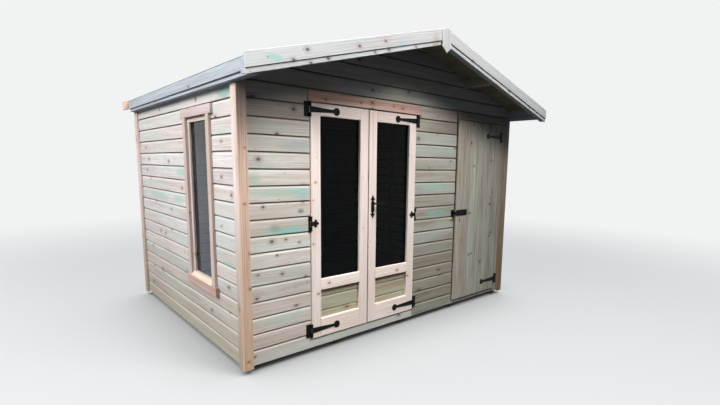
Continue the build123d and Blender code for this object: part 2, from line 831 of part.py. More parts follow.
nodes = dict(
    floor_bearers=floor_bearers,
    floor_deck=floor_deck,
    front_wall_left=front_wall_left,
    front_wall_middle=front_wall_middle,
    front_wall_right=front_wall_right,
    threshold_boards=threshold_boards,
    front_gable_wall=front_gable_wall,
    back_wall=back_wall,
    left_wall=left_wall,
    right_wall=right_wall,
    front_wall_frame=front_wall_frame,
    back_wall_frame=back_wall_frame,
    left_wall_frame=left_wall_frame,
    right_wall_frame=right_wall_frame,
    front_corner_boards=front_corner_boards,
    back_corner_boards=back_corner_boards,
    side_corner_boards=side_corner_boards,
    door_head_trims=door_head_trims,
    window_frame=window_frame,
    window_glass=window_glass,
    window_side_trims=window_side_trims,
    window_head_trim=window_head_trim,
    window_sill=window_sill,
    roof_boards_left=roof_boards_left,
    roof_boards_right=roof_boards_right,
    roof_felt_left=roof_felt_left,
    roof_felt_right=roof_felt_right,
    purlins=purlins,
    eave_rails=eave_rails,
    verge_rafters=verge_rafters,
    fascia_boards=fascia_boards,
    front_bargeboards=front_bargeboards,
    back_bargeboards=back_bargeboards,
    finials=finials,
    left_door_frame=left_door_frame,
    left_door_glass=left_door_glass,
    left_door_panel=left_door_panel,
    right_door_frame=right_door_frame,
    right_door_glass=right_door_glass,
    right_door_panel=right_door_panel,
    store_door_boards=store_door_boards,
    store_door_ledges=store_door_ledges,
    hinge_plates=hinge_plates,
    left_door_hinges=left_door_hinges,
    right_door_hinges=right_door_hinges,
    store_door_hinges=store_door_hinges,
    door_handle_plate=door_handle_plate,
    door_lever=door_lever,
    store_door_bolt=store_door_bolt,
    bolt_keep=bolt_keep,
)
for node_name, node in nodes.items():
    node.part.label = node_name
    export_step(node.part, f"parts/{node_name}.step")
    print(node_name, len(node.part.solids()), round(node.part.volume / 1e9, 5))
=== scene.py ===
import math
import random

import bmesh
import bpy
from mathutils import Matrix, Vector


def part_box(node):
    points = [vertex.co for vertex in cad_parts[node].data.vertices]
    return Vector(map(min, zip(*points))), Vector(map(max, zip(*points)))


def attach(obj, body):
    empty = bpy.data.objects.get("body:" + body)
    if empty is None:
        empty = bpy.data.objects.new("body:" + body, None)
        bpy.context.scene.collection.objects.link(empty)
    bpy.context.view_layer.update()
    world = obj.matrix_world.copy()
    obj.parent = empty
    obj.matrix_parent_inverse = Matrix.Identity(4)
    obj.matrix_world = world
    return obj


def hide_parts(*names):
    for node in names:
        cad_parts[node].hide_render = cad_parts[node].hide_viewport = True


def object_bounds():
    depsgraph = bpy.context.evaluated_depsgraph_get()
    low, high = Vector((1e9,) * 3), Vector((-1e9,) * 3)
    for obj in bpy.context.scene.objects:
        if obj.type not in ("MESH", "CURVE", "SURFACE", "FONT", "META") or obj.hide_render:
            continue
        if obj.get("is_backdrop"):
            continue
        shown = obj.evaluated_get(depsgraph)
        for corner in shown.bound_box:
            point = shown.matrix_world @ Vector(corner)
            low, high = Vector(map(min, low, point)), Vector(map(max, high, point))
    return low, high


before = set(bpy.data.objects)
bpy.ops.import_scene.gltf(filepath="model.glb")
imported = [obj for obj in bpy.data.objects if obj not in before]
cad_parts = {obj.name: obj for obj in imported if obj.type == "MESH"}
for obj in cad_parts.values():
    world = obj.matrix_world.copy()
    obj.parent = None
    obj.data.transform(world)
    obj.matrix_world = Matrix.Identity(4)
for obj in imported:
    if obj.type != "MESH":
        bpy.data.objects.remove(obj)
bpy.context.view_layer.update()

print("frame loaded")

pitch = math.radians(15.8)
slopeTan = math.tan(pitch)
rise = 1 / math.cos(pitch)  # upright depth of what is 1 thick square to the slope
planes = {  # where a point of an outline goes when the outline is pushed along an axis
    "X": lambda u, v, w: Vector((w, u, v)),
    "Y": lambda u, v, w: Vector((u, w, v)),
    "Z": lambda u, v, w: Vector((u, v, w)),
}
alongX, alongY, alongZ = Vector((1, 0, 0)), Vector((0, 1, 0)), Vector((0, 0, 1))


def colour(red, green, blue):  # a colour as a screen shows it, made linear
    return (*[((c / 255 + 0.055) / 1.055) ** 2.4 for c in (red, green, blue)], 1.0)


class Shader:
    def __init__(self, owner):  # a new material or world
        owner.use_nodes = True
        self.owner, self.tree = owner, owner.node_tree
        self.tree.nodes.clear()

    def put(self, kind, inputs=None, **settings):
        node = self.tree.nodes.new("ShaderNode" + kind)
        for key, value in settings.items():
            setattr(node, key, value)
        for key, value in (inputs or {}).items():
            if isinstance(value, bpy.types.NodeSocket):
                self.tree.links.new(value, node.inputs[key])
            else:
                node.inputs[key].default_value = value
        return node

    def maths(self, operation, first, second=0.0, third=0.0):
        return self.put("Math", {0: first, 1: second, 2: third}, operation=operation).outputs[0]

    def vector(self, operation, first, second=(0, 0, 0)):
        node = self.put("VectorMath", {0: first, 1: second}, operation=operation)
        return node.outputs["Value" if operation in ("LENGTH", "DISTANCE", "DOT_PRODUCT") else "Vector"]

    def mix(self, amount, first, second, blend="MIX"):
        node = self.put("Mix", {0: amount, 6: first, 7: second}, data_type="RGBA", blend_type=blend)
        return node.outputs[2]

    def ease(self, value, low, high, start=0.0, end=1.0):
        inputs = {0: value, 1: low, 2: high, 3: start, 4: end}
        return self.put("MapRange", inputs, interpolation_type="SMOOTHSTEP").outputs[0]

    def noise(self, vector, scale, detail=3.0, roughness=0.55):
        inputs = {"Vector": vector, "Scale": scale, "Detail": detail, "Roughness": roughness}
        return self.put("TexNoise", inputs).outputs[0]

    def dim(self, tint, level):
        grey = self.put("CombineColor", {0: level, 1: level, 2: level}).outputs[0]
        return self.mix(1.0, tint, grey, "MULTIPLY")

    def place(self):
        return self.put("TexCoord").outputs["Object"]

    def level(self, place):
        return self.put("SeparateXYZ", {0: place}).outputs[2]

    def tones(self):  # brightness, warmth and damp of the board
        tone = self.put("Attribute", attribute_name="tone").outputs["Color"]
        return self.put("SeparateColor", {0: tone}).outputs

    def finish(self, surface):
        self.put("OutputMaterial", {0: surface})
        return self.owner

    def coat(self, tint, rough, bump=None, more=None):  # bump is strength, distance and height
        inputs = {"Base Color": tint, "Roughness": rough, **(more or {})}
        if bump:
            bump = self.put("Bump", dict(zip(("Strength", "Distance", "Height"), bump)))
            inputs["Normal"] = bump.outputs[0]
        return self.finish(self.put("BsdfPrincipled", inputs).outputs[0])


# Timber finishes. Placed knots are along, height and radius, on the walls that face along X or Y.
figures = {  # cells per metre along and across the grain, detail and roughness of each layer
    "warp": (0.55, 5.0, 2.0), "gaps": (1.7, 14.0, 2.0), "streak": (2.2, 150.0, 3.0), "broad": (0.9, 9.0, 3.0),
    "ribbon": (1.4, 38.0, 4.0, 0.65), "patchy": (7.0, 22.0, 4.0, 0.6), "damp": (1.3, 7.0, 2.0),
}
knotSquash = 1.35  # a placed knot is this much longer than it is high
lapFoot, lapCover = 0.048, 0.112  # foot of the lowest board, and the height that each board covers


def timber(name, look, facing=None, knots=(), stains=(), lapped=False):
    look = {key: colour(*value) if isinstance(value, tuple) else value for key, value in look.items()}
    shader = Shader(bpy.data.materials.new(name))
    grain = shader.put("Attribute", attribute_name="grain").outputs["Vector"]
    tone, place = shader.tones(), shader.place()
    mix, ease, maths = shader.mix, shader.ease, shader.maths

    def onWall(along, height):
        return (along, 0.0, height) if facing == "Y" else (0.0, along, height)

    def layer(key):  # noise drawn out along the grain
        along, across, *rest = figures[key]
        return shader.noise(shader.vector("MULTIPLY", grain, (along, across, across)), 1.0, *rest)

    # Scattered knots, one in some of the cells
    spread = shader.vector("MULTIPLY", grain, (look["knotsAlong"], look["knotsAcross"], 0.0))
    cells = shader.put("TexVoronoi", {"Vector": spread, "Scale": 1.0}, voronoi_dimensions="2D").outputs
    luck = shader.put("SeparateColor", {0: cells["Color"]}).outputs
    size = ease(luck[0], 1.0 - look["knotShare"], 1.0, 0.012, look["knotSize"])
    ratio = maths("DIVIDE", cells["Distance"], size)
    knot = ease(ratio, 1.25, 0.55)
    halo = ease(ratio, 3.6, 0.9)
    for along, height, radius in knots:
        flat = shader.vector("MULTIPLY", place, onWall(1.0, knotSquash))
        away = shader.vector("DISTANCE", flat, onWall(along, height * knotSquash))
        knot = maths("MAXIMUM", knot, ease(away, radius * 1.2, radius * 0.5))
        halo = maths("MAXIMUM", halo, ease(away, radius * 3.2, radius))

    # Growth lines, bent a little round the knots and broken up along the grain
    parts = shader.put("SeparateXYZ", {0: grain}).outputs
    across = maths("ADD", parts[1], maths("MULTIPLY", parts[2], 0.6))
    phase = maths("MULTIPLY", across, look["linesPerMetre"] * math.tau)
    phase = maths("MULTIPLY_ADD", layer("warp"), look["lineSwirl"] * math.tau, phase)
    phase = maths("MULTIPLY_ADD", halo, 2.6, phase)
    lines = ease(maths("SINE", phase), -0.5, 1.0)
    lines = maths("MULTIPLY", lines, ease(layer("gaps"), 0.35, 0.65))
    streak, ribbon, patchy = layer("streak"), layer("ribbon"), layer("patchy")

    tint = mix(ease(layer("broad"), 0.32, 0.68), look["pale"], look["warm"])
    tint = mix(ease(tone[1], 0.45, 0.95, 0.0, look["hueSpread"]), tint, look["other"])
    tint = mix(ease(patchy, 0.46, 0.7, 0.0, look["patchDepth"]), tint, look["other"])
    tint = mix(ease(ribbon, 0.5, 0.3, 0.0, look["patchDepth"]), tint, look["bleached"])
    tint = mix(maths("MULTIPLY", lines, look["lineDepth"]), tint, look["line"])
    tint = mix(ease(ribbon, 0.48, 0.74, 0.0, look["streakDepth"]), tint, look["line"])
    tint = mix(ease(streak, 0.42, 0.78, 0.0, look["streakDepth"]), tint, look["line"])
    if look["green"]:
        damp = maths("MULTIPLY_ADD", tone[2], 0.22, layer("damp"))
        damp = maths("MULTIPLY_ADD", ribbon, 0.25, damp)
        tint = mix(ease(damp, 0.66, 0.95, 0.0, look["greenAmount"]), tint, look["green"])
    ragged = maths("MULTIPLY_ADD", ribbon, 1.1, maths("MULTIPLY", patchy, 0.9))
    for along, height, halfLength, halfHeight, stain, amount in stains:
        off = shader.vector("SUBTRACT", place, onWall(along, height))
        off = shader.vector("MULTIPLY", off, onWall(1 / halfLength, 1 / halfHeight))
        away = maths("ADD", shader.vector("LENGTH", off), maths("SUBTRACT", ragged, 1.0))
        tint = mix(ease(away, 1.25, 0.35, 0.0, amount), tint, colour(*stain))
    tint = mix(maths("MULTIPLY", halo, look["haloDepth"]), tint, look["line"])
    tint = mix(maths("MULTIPLY", knot, look["knotDepth"]), tint, look["knot"])
    level = shader.level(place)
    if look["footTint"]:
        high = maths("MULTIPLY_ADD", patchy, 0.5, level)
        low = ease(high, look["footHigh"] + 0.25, look["footLow"] + 0.25)
        tint = mix(low, tint, look["footTint"], "MULTIPLY")
    if lapped:  # darker joint over each board, partly grime and partly painted shade, and a painted highlight on the line where its shoulder begins
        rung = maths("SUBTRACT", maths("DIVIDE", level, lapCover), lapFoot / lapCover)
        rung = maths("FRACT", rung)
        # painted highlight where the shoulder's curve faces up
        shoulder = maths("MULTIPLY", ease(rung, 0.74, 0.82), ease(rung, 0.9, 0.84))
        tint = mix(maths("MULTIPLY", shoulder, 0.3), tint, look["pale"])
        tint = mix(ease(rung, look["jointStart"], 0.95, 0.0, look["jointShadeDepth"]), tint, look["joint"])
    bright = maths("MULTIPLY_ADD", tone[0], look["toneSpread"], 1.0 - look["toneSpread"] / 2)
    tint = shader.dim(tint, bright)

    height = maths("MULTIPLY_ADD", streak, 0.7, maths("MULTIPLY", lines, 0.35))
    height = maths("MULTIPLY_ADD", knot, 0.5, height)
    rough = ease(streak, 0.3, 0.8, look["roughLow"], look["roughHigh"])
    return shader.coat(tint, rough, (look["bump"], 0.001, height), {"Specular IOR Level": 0.15})


treatedLook = {  # colours as a screen shows them
    "pale": (214, 208, 198), "warm": (198, 188, 175), "other": (200, 180, 168), "bleached": (222, 220, 216),
    "line": (148, 128, 114), "knot": (94, 72, 60), "green": (186, 198, 190), "joint": (80, 58, 46),
    "jointShadeDepth": 0.8, "jointStart": 0.855, "knotsAlong": 3.2, "knotsAcross": 6.5, "knotShare": 0.42,
    "knotSize": 0.06, "linesPerMetre": 62.0, "lineSwirl": 7.0, "lineDepth": 0.3, "streakDepth": 0.34,
    "hueSpread": 0.6, "patchDepth": 0.5, "greenAmount": 0.45, "haloDepth": 0.45, "knotDepth": 0.85,
    "toneSpread": 0.16, "footTint": None, "bump": 0.5, "roughLow": 0.6, "roughHigh": 0.8,
}


def tinted(look, *colours, **more):  # the same look with other colours: pale, warm, other, bleached
    return {**look, **dict(zip(("pale", "warm", "other", "bleached"), colours)), **more}


sideLook = tinted(
    treatedLook, (216, 211, 209), (202, 193, 189), (200, 182, 177), (224, 223, 221),
    footTint=(212, 209, 195), footLow=0.05, footHigh=0.85, jointStart=0.87,
)
# The middle and right parts of the front wall: the same boards as the left part, written darker as painted
# shade for the light falling off to the right
middleShadeLook = tinted(
    treatedLook, (184, 180, 168), (166, 158, 142), (164, 146, 130), (192, 192, 182),
    line=(112, 96, 78), footTint=(214, 212, 204), footLow=0.1, footHigh=1.3, jointStart=0.84, toneSpread=0.12,
    hueSpread=0.4,
)
planedLook = tinted(
    treatedLook, (216, 190, 174), (202, 172, 150), (208, 178, 164), (226, 208, 198),
    line=(160, 118, 92), knot=(132, 76, 58), green=None, knotShare=0.3, knotSize=0.07, toneSpread=0.06,
    lineDepth=0.4, streakDepth=0.45, patchDepth=0.5, footTint=(246, 238, 222), footLow=0.1, footHigh=1.1,
)
sideTrimLook = tinted(
    planedLook, (220, 206, 200), (206, 186, 178), (212, 194, 188), (236, 228, 226),
    line=(166, 142, 128), footTint=(208, 202, 188), footHigh=1.3,
)
windowLook = tinted(
    sideTrimLook, (196, 180, 174), (184, 164, 154), (188, 170, 162), (210, 200, 196),
    footTint=None,
)
doorLook = tinted(
    planedLook, (248, 235, 228), (240, 219, 206), (242, 225, 216), (252, 244, 242),
    line=(208, 172, 154), knot=(166, 92, 66), lineDepth=0.4, streakDepth=0.3, toneSpread=0.16,
    footTint=(252, 252, 249),
)
sillLook = tinted(
    windowLook, (186, 160, 148), (176, 144, 130), (180, 150, 138), (196, 176, 166),
    line=(142, 108, 92),
)
wedgeLook = tinted(
    windowLook, (216, 196, 174), (206, 184, 160), (206, 186, 168), (226, 210, 192),
    line=(184, 154, 130),
)
windowHeadLook = tinted(
    windowLook, (200, 188, 188), (190, 174, 172), (194, 176, 176), (210, 204, 206),
)
headLook = tinted(planedLook, (214, 180, 170), (202, 162, 148), (206, 168, 156), footTint=None)
weatheredLook = tinted(
    planedLook, (140, 136, 124), (128, 118, 102), (138, 122, 104), (162, 156, 144),
    line=(108, 86, 66), knot=(70, 54, 42), footTint=(232, 212, 184),
)
bargeLook = tinted(
    treatedLook, (191, 194, 194), (179, 177, 174), (186, 177, 176), (203, 207, 210),
    line=(138, 131, 126), knot=(70, 60, 56), green=(172, 186, 184), greenAmount=0.3, toneSpread=0.05,
    knotShare=0.12,
)
fasciaLook = tinted(
    bargeLook, (172, 178, 188), (160, 164, 170), (166, 164, 168), (188, 196, 206),
    line=(130, 128, 130), green=(158, 174, 174), streakDepth=0.5,
)
panelLook = tinted(
    treatedLook, (190, 180, 156), (174, 160, 136), (180, 166, 144), (194, 190, 168),
    line=(136, 118, 88), green=(170, 176, 148),
)
storeLook = tinted(
    treatedLook, (180, 175, 162), (164, 158, 142), (170, 154, 142), (190, 188, 178),
    line=(102, 92, 76), knot=(60, 48, 42), green=(164, 174, 158), knotShare=0.3, knotsAlong=4.5,
    toneSpread=0.56, streakDepth=0.7, lineDepth=0.5,
)
framingLook = tinted(
    treatedLook, (178, 166, 142), (164, 150, 122), (168, 150, 126), (188, 180, 160),
    line=(134, 116, 88), green=(160, 166, 138), bump=0.7,
)
# Roof boards written darker than the framing: painted shade under the roof and its overhang
roofShadeLook = tinted(
    framingLook, (146, 134, 112), (130, 116, 92), (134, 118, 98), (156, 148, 130),
    line=(104, 88, 66), green=(132, 134, 114),
)
turquoise, mint, darkGreen = (140, 192, 182), (164, 190, 174), (84, 122, 104)
frontKnots = [
    (-1.299, 0.897, 0.017), (-1.192, 0.901, 0.01), (-1.086, 0.871, 0.009), (-1.261, 0.798, 0.01),
    (-1.225, 0.66, 0.012), (-1.418, 0.517, 0.012), (-1.036, 0.612, 0.011), (-1.358, 1.136, 0.011),
    (-1.445, 0.11, 0.01), (-1.382, 1.451, 0.017), (-1.245, 1.622, 0.012), (-1.116, 1.792, 0.016),
    (-1.357, 1.142, 0.01), (-1.05, 1.158, 0.011), (0.119, 1.659, 0.015), (0.574, 1.474, 0.009),
    (-0.413, 2.004, 0.012), (-0.014, 2.04, 0.012),
]
frontStains = [  # along, height, half length, half height, colour and depth
    (-1.17, 0.966, 0.22, 0.036, turquoise, 0.8), (-1.27, 0.985, 0.05, 0.03, (130, 140, 104), 0.5),
    (-1.25, 1.228, 0.2, 0.034, mint, 0.7), (-1.06, 1.222, 0.08, 0.04, turquoise, 0.6),
    (-1.425, 1.32, 0.07, 0.04, (140, 176, 156), 0.55), (-1.071, 1.094, 0.026, 0.019, darkGreen, 0.75),
    (-1.09, 1.549, 0.16, 0.045, (158, 168, 168), 0.6), (-1.36, 1.4, 0.1, 0.03, mint, 0.5),
    (0.4, 0.985, 0.17, 0.034, turquoise, 0.6), (0.583, 1.575, 0.06, 0.04, mint, 0.7),
    (0.33, 1.237, 0.24, 0.035, mint, 0.75), (-1.2, 0.341, 0.16, 0.04, mint, 0.4),
    (0.1, 2.02, 0.18, 0.03, darkGreen, 0.4),
]
doorKnots = [
    (-0.835, 0.529, 0.012), (-0.932, 0.46, 0.011), (-0.12, 0.518, 0.014), (0.009, 0.446, 0.012),
    (-0.975, 0.845, 0.008), (-0.953, 1.294, 0.009), (-0.973, 1.166, 0.006), (-0.452, 0.76, 0.005),
]
headKnots = [(-0.868, 1.883, 0.01), (-0.432, 1.906, 0.018), (-0.542, 1.893, 0.009), (-0.2, 1.9, 0.008)]
sideKnots = [
    (-0.927, 1.328, 0.014), (-1.083, 1.212, 0.016), (0.232, 1.006, 0.012), (0.444, 0.763, 0.016),
    (0.703, 1.04, 0.012), (-0.496, 1.882, 0.015), (0.426, 1.882, 0.013),
]
sideStains = [
    (-1.03, 1.875, 0.14, 0.045, (132, 166, 152), 0.8), (-0.087, 1.342, 0.14, 0.04, mint, 0.7),
    (0.604, 1.105, 0.3, 0.04, mint, 0.7), (0.031, 1.107, 0.14, 0.04, turquoise, 0.45),
    (0.414, 0.919, 0.35, 0.03, mint, 0.4), (-0.95, 1.6, 0.1, 0.05, mint, 0.35),
    (0.6, 1.22, 0.5, 0.03, mint, 0.45), (-1.0, 0.72, 0.12, 0.04, mint, 0.45),
]
trimKnots = [(-1.492, 1.165, 0.008), (-1.47, 0.602, 0.01), (-1.498, 0.098, 0.009), (-1.48, 1.52, 0.006)]
storeKnots = [
    (0.922, 1.43, 0.01), (1.22, 1.491, 0.01), (1.223, 1.034, 0.012), (0.891, 1.834, 0.008),
    (0.876, 0.959, 0.012), (1.237, 0.687, 0.01), (0.895, 0.525, 0.01), (0.935, 0.534, 0.009),
    (1.443, 1.074, 0.008),
]
bargeKnots = [
    (-1.242, 2.09, 0.014), (-1.335, 2.017, 0.012), (-1.215, 2.02, 0.011), (-1.497, 2.004, 0.004),
    (-1.091, 2.066, 0.014), (-0.852, 2.182, 0.013), (-0.628, 2.257, 0.01), (-0.59, 2.209, 0.013),
    (-0.326, 2.278, 0.01), (-0.713, 2.17, 0.009), (0.35, 2.29, 0.01), (0.92, 2.12, 0.011), (1.3, 2.01, 0.01),
]
bargeStains = [
    (-1.452, 2.008, 0.07, 0.022, (140, 176, 170), 0.8), (-0.476, 2.27, 0.05, 0.024, (140, 172, 172), 0.6),
    (-0.65, 2.27, 0.09, 0.03, (176, 160, 154), 0.4), (-0.11, 2.335, 0.05, 0.07, (150, 134, 118), 0.6),
]
frontCladding = timber("treatedFront", treatedLook, "Y", frontKnots, frontStains, lapped=True)
middleShadeCladding = timber("treatedMiddlePaintedShade", middleShadeLook, "Y", frontKnots, frontStains, lapped=True)
sideCladding = timber("treatedSide", sideLook, "X", sideKnots, sideStains, lapped=True)
plainCladding = timber("treatedPlain", treatedLook, lapped=True)
planed = timber("planedTrim", planedLook, "Y", trimKnots)
sideTrim = timber("sideTrim", sideTrimLook)
windowTimber = timber("windowTimber", windowLook)
doorTimber = timber("doorTimber", doorLook, "Y", doorKnots)
headTimber = timber("headTimber", headLook, "Y", headKnots)
weathered = timber("weatheredTrim", weatheredLook)
bargeTimber = timber("bargeTimber", bargeLook, "Y", bargeKnots, bargeStains)
fasciaTimber = timber("fasciaTimber", fasciaLook)
doorPanel = timber("doorPanel", panelLook)
storeBoards = timber("storeBoards", storeLook, "Y", storeKnots)
sillTimber = timber("sillTimber", sillLook)
wedgeTimber = timber("wedgeTimber", wedgeLook)
windowHeadTimber = timber("windowHeadTimber", windowHeadLook)
framing = timber("framing", framingLook)
roofUndersidePaintedShade = timber("roofUndersidePaintedShade", roofShadeLook)
print("timber finishes made")


def ironFinish():
    shader = Shader(bpy.data.materials.new("blackIron"))
    place = shader.place()
    fine, worn = shader.noise(place, 420.0, 3.0), shader.noise(place, 60.0, 4.0)
    tint = shader.mix(shader.ease(worn, 0.45, 0.75), colour(7, 7, 9), colour(20, 19, 20))
    rough = shader.ease(worn, 0.3, 0.7, 0.42, 0.6)
    return shader.coat(tint, rough, (0.35, 0.0006, fine), {"Specular IOR Level": 0.12})


def feltFinish():
    shader = Shader(bpy.data.materials.new("mineralFelt"))
    place = shader.place()
    grit, cloud = shader.noise(place, 900.0, 2.0), shader.noise(place, 3.0, 4.0)
    washed = shader.noise(shader.vector("MULTIPLY", place, (2.0, 8.0, 2.0)), 1.0, 4.0, 0.6)
    tint = shader.mix(shader.ease(grit, 0.35, 0.65), colour(44, 48, 46), colour(92, 98, 94))
    tint = shader.mix(shader.ease(cloud, 0.35, 0.7, 0.0, 0.6), tint, colour(60, 66, 58))
    tint = shader.mix(shader.ease(washed, 0.46, 0.76, 0.0, 0.24), tint, colour(112, 116, 108))
    tint = shader.dim(tint, shader.maths("MULTIPLY_ADD", shader.tones()[0], 0.24, 0.84))
    return shader.coat(tint, shader.ease(grit, 0.3, 0.7, 0.8, 0.95), (0.6, 0.0012, grit))


def nailFinish():
    shader = Shader(bpy.data.materials.new("galvanised"))
    bloom = shader.noise(shader.place(), 240.0, 3.0)
    tint = shader.mix(shader.ease(bloom, 0.35, 0.65), colour(120, 124, 126), colour(164, 168, 170))
    return shader.coat(tint, shader.ease(bloom, 0.3, 0.7, 0.45, 0.65), more={"Metallic": 0.5})


def glassFinish(name, tint, upperShade, bend):  # tint low down and higher up, and index of refraction; the tint darkens what is seen through the glass, most higher up, as painted shade of the shed's inside
    shader = Shader(bpy.data.materials.new(name))
    place = shader.place()
    ripple = shader.noise(place, 5.0, 1.0)
    height = shader.maths("MULTIPLY_ADD", ripple, 0.2, shader.level(place))
    # painted shade: the view through is darker higher up
    tint = shader.mix(shader.ease(height, 1.5, 1.75), tint, upperShade)
    return shader.coat(tint, 0.02, (0.04, 0.002, ripple), {"IOR": bend, "Transmission Weight": 1.0})


iron, felt, galvanised = ironFinish(), feltFinish(), nailFinish()
doorGlass = glassFinish("doorGlass", colour(110, 124, 140), colour(70, 84, 96), 1.16)
windowGlass = glassFinish("windowGlass", colour(146, 160, 182), colour(80, 92, 100), 1.3)


def makePiece(name, work, node, material, body):
    mesh = bpy.data.meshes.new(name)
    work.to_mesh(mesh)
    work.free()
    mesh.materials.append(material)
    piece = bpy.data.objects.new(name, mesh)
    bpy.context.scene.collection.objects.link(piece)
    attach(piece, body)
    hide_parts(node)


def takeOffArrises(work, sharp, width, segments):  # on the edges that turn by more than sharp
    bmesh.ops.bevel(
        work, geom=[edge for edge in work.edges if edge.calc_face_angle(0.0) > sharp], offset=width,
        offset_type="OFFSET", affect="EDGES", segments=segments, profile=0.5, material=-1, clamp_overlap=True,
    )


def roundHead(work, head, place):  # of a nail or a screw
    bmesh.ops.create_cone(
        work, cap_ends=True, segments=head["sides"], radius1=head["radius"],
        radius2=head["radius"] * head["taper"], depth=head["height"], matrix=place,
    )


# Timber is joined from pieces: an outline pushed along an axis, trimmed, with its arrises taken off
arris = {"width": 0.0015, "sharp": 0.4}


class Joinery:
    def __init__(self, name, seed, node):  # node is the CAD piece that it shows
        self.name, self.seed, self.node = name, seed, node
        self.low, self.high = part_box(node)
        self.random = random.Random(seed)
        self.mesh = bmesh.new()

    def add(self, outline, axis, start, end, grain, bevel=arris["width"], cuts=(), key=None, tone=None):
        place = planes[axis]
        work = bmesh.new()
        face = work.faces.new([work.verts.new(place(u, v, start)) for u, v in outline])
        pushed = bmesh.ops.extrude_face_region(work, geom=[face])["geom"]
        far = [part for part in pushed if isinstance(part, bmesh.types.BMVert)]
        bmesh.ops.translate(work, verts=far, vec=place(0, 0, end) - place(0, 0, start))
        for point, normal in cuts:
            everything = work.verts[:] + work.edges[:] + work.faces[:]
            bmesh.ops.bisect_plane(work, geom=everything, plane_co=point, plane_no=normal, clear_outer=True)
            openEdges = [edge for edge in work.edges if edge.is_boundary]
            if openEdges:
                bmesh.ops.holes_fill(work, edges=openEdges)
        bmesh.ops.recalc_face_normals(work, faces=work.faces[:])
        if bevel:
            takeOffArrises(work, arris["sharp"], bevel, 1)

        # The figure runs along the grain, and its lines lie across the wider side
        pushAxis = place(0, 0, 1) - place(0, 0, 0)
        grain = grain.normalized()
        first = pushAxis if abs(pushAxis.dot(grain)) < 0.5 else place(1, 0, 0) - place(0, 0, 0)
        first = (first - grain * first.dot(grain)).normalized()
        second = grain.cross(first)
        spans = []
        for side in (first, second):
            reach = [vert.co.dot(side) for vert in work.verts]
            spans.append(max(reach) - min(reach))
        across, depth = (first, second) if spans[0] > spans[1] else (second, first)
        luck = self.random if key is None else random.Random(f"{self.seed}-{key}")
        shift = [luck.uniform(0, 40) for count in range(3)]
        shade = (luck.random(), luck.random(), luck.random(), 1.0)
        if tone:
            shade = (*tone, 1.0)
        grainLayer = work.verts.layers.float_vector.new("grain")
        toneLayer = work.verts.layers.float_color.new("tone")
        for vert in work.verts:
            vert[grainLayer] = [vert.co.dot(way) + off for way, off in zip((grain, across, depth), shift)]
            vert[toneLayer] = shade
        made = bpy.data.meshes.new("piece")
        work.to_mesh(made)
        work.free()
        self.mesh.from_mesh(made)
        bpy.data.meshes.remove(made)

    def box(self, low, high, grain, bevel=arris["width"]):
        outline = [(low[0], low[1]), (high[0], low[1]), (high[0], high[1]), (low[0], high[1])]
        self.add(outline, "Z", low[2], high[2], grain, bevel)

    def bar(self, x0, x1, z0, z1, grain, bevel=arris["width"]):  # as deep as the node
        self.box((x0, self.low.y, z0), (x1, self.high.y, z1), grain, bevel)

    def finish(self, material, slot, body="building"):
        makePiece(self.name, self.mesh, self.node, material, body)


# Shiplap
shiplap = {
    "cover": lapCover, "height": 0.1215, "slack": 0.001, "foot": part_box("left_wall")[0].z,
    "courses": 16, "sillCourses": 4,  # up to the heads of the doors, and to below the window
    "section": [  # depth from the face, height above the board's foot
        (0.0015, 0.0), (0.0, 0.0015), (0.0, 0.088), (0.0006, 0.0925), (0.0022, 0.0972), (0.0048, 0.1015),
        (0.0078, 0.1045), (0.0084, 0.1055), (0.0084, 0.1215), (0.015, 0.1215), (0.015, 0.0105),
        (0.0079, 0.0105), (0.0079, 0.0),
    ],
}
doorGap, thresholdTop, storeThresholdTop = 0.006, 0.114, 0.084
frontFace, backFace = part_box("front_wall_left")[0].y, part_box("back_wall")[1].y
leftFace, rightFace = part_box("left_wall")[0].x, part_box("right_wall")[1].x
walls = {  # seed, axis of the boards, face and the way in
    "front": (11, "X", frontFace, 1), "back": (12, "X", backFace, -1), "left": (13, "Y", leftFace, 1),
    "right": (14, "Y", rightFace, -1),
}


def lapBoard(boards, axis, face, inward, start, end, foot, low, high, cuts=(), key=None):
    outline = [(face + inward * depth, foot + up) for depth, up in shiplap["section"]]
    trims = list(cuts)
    if low > foot + shiplap["slack"]:
        trims.append(((0, 0, low), (0, 0, -1)))
    if high < foot + shiplap["height"] - shiplap["slack"] / 2:
        trims.append(((0, 0, high), (0, 0, 1)))
    boards.add(outline, axis, start, end, alongX if axis == "X" else alongY, 0.0, trims, key)


def boardWall(side, piece, node, material, fields, cuts=()):
    seed, axis, face, inward = walls[side]
    wall = Joinery(piece, seed, node)
    for start, end, low, high in fields:
        first = math.floor((low - shiplap["foot"]) / shiplap["cover"] + shiplap["slack"])
        last = math.ceil((high - shiplap["foot"]) / shiplap["cover"] - shiplap["slack"])
        for course in range(first, last):
            foot = shiplap["foot"] + course * shiplap["cover"]
            lapBoard(wall, axis, face, inward, start, end, foot, low, high, cuts, f"{side}{course}")
    wall.finish(material, "cladding")


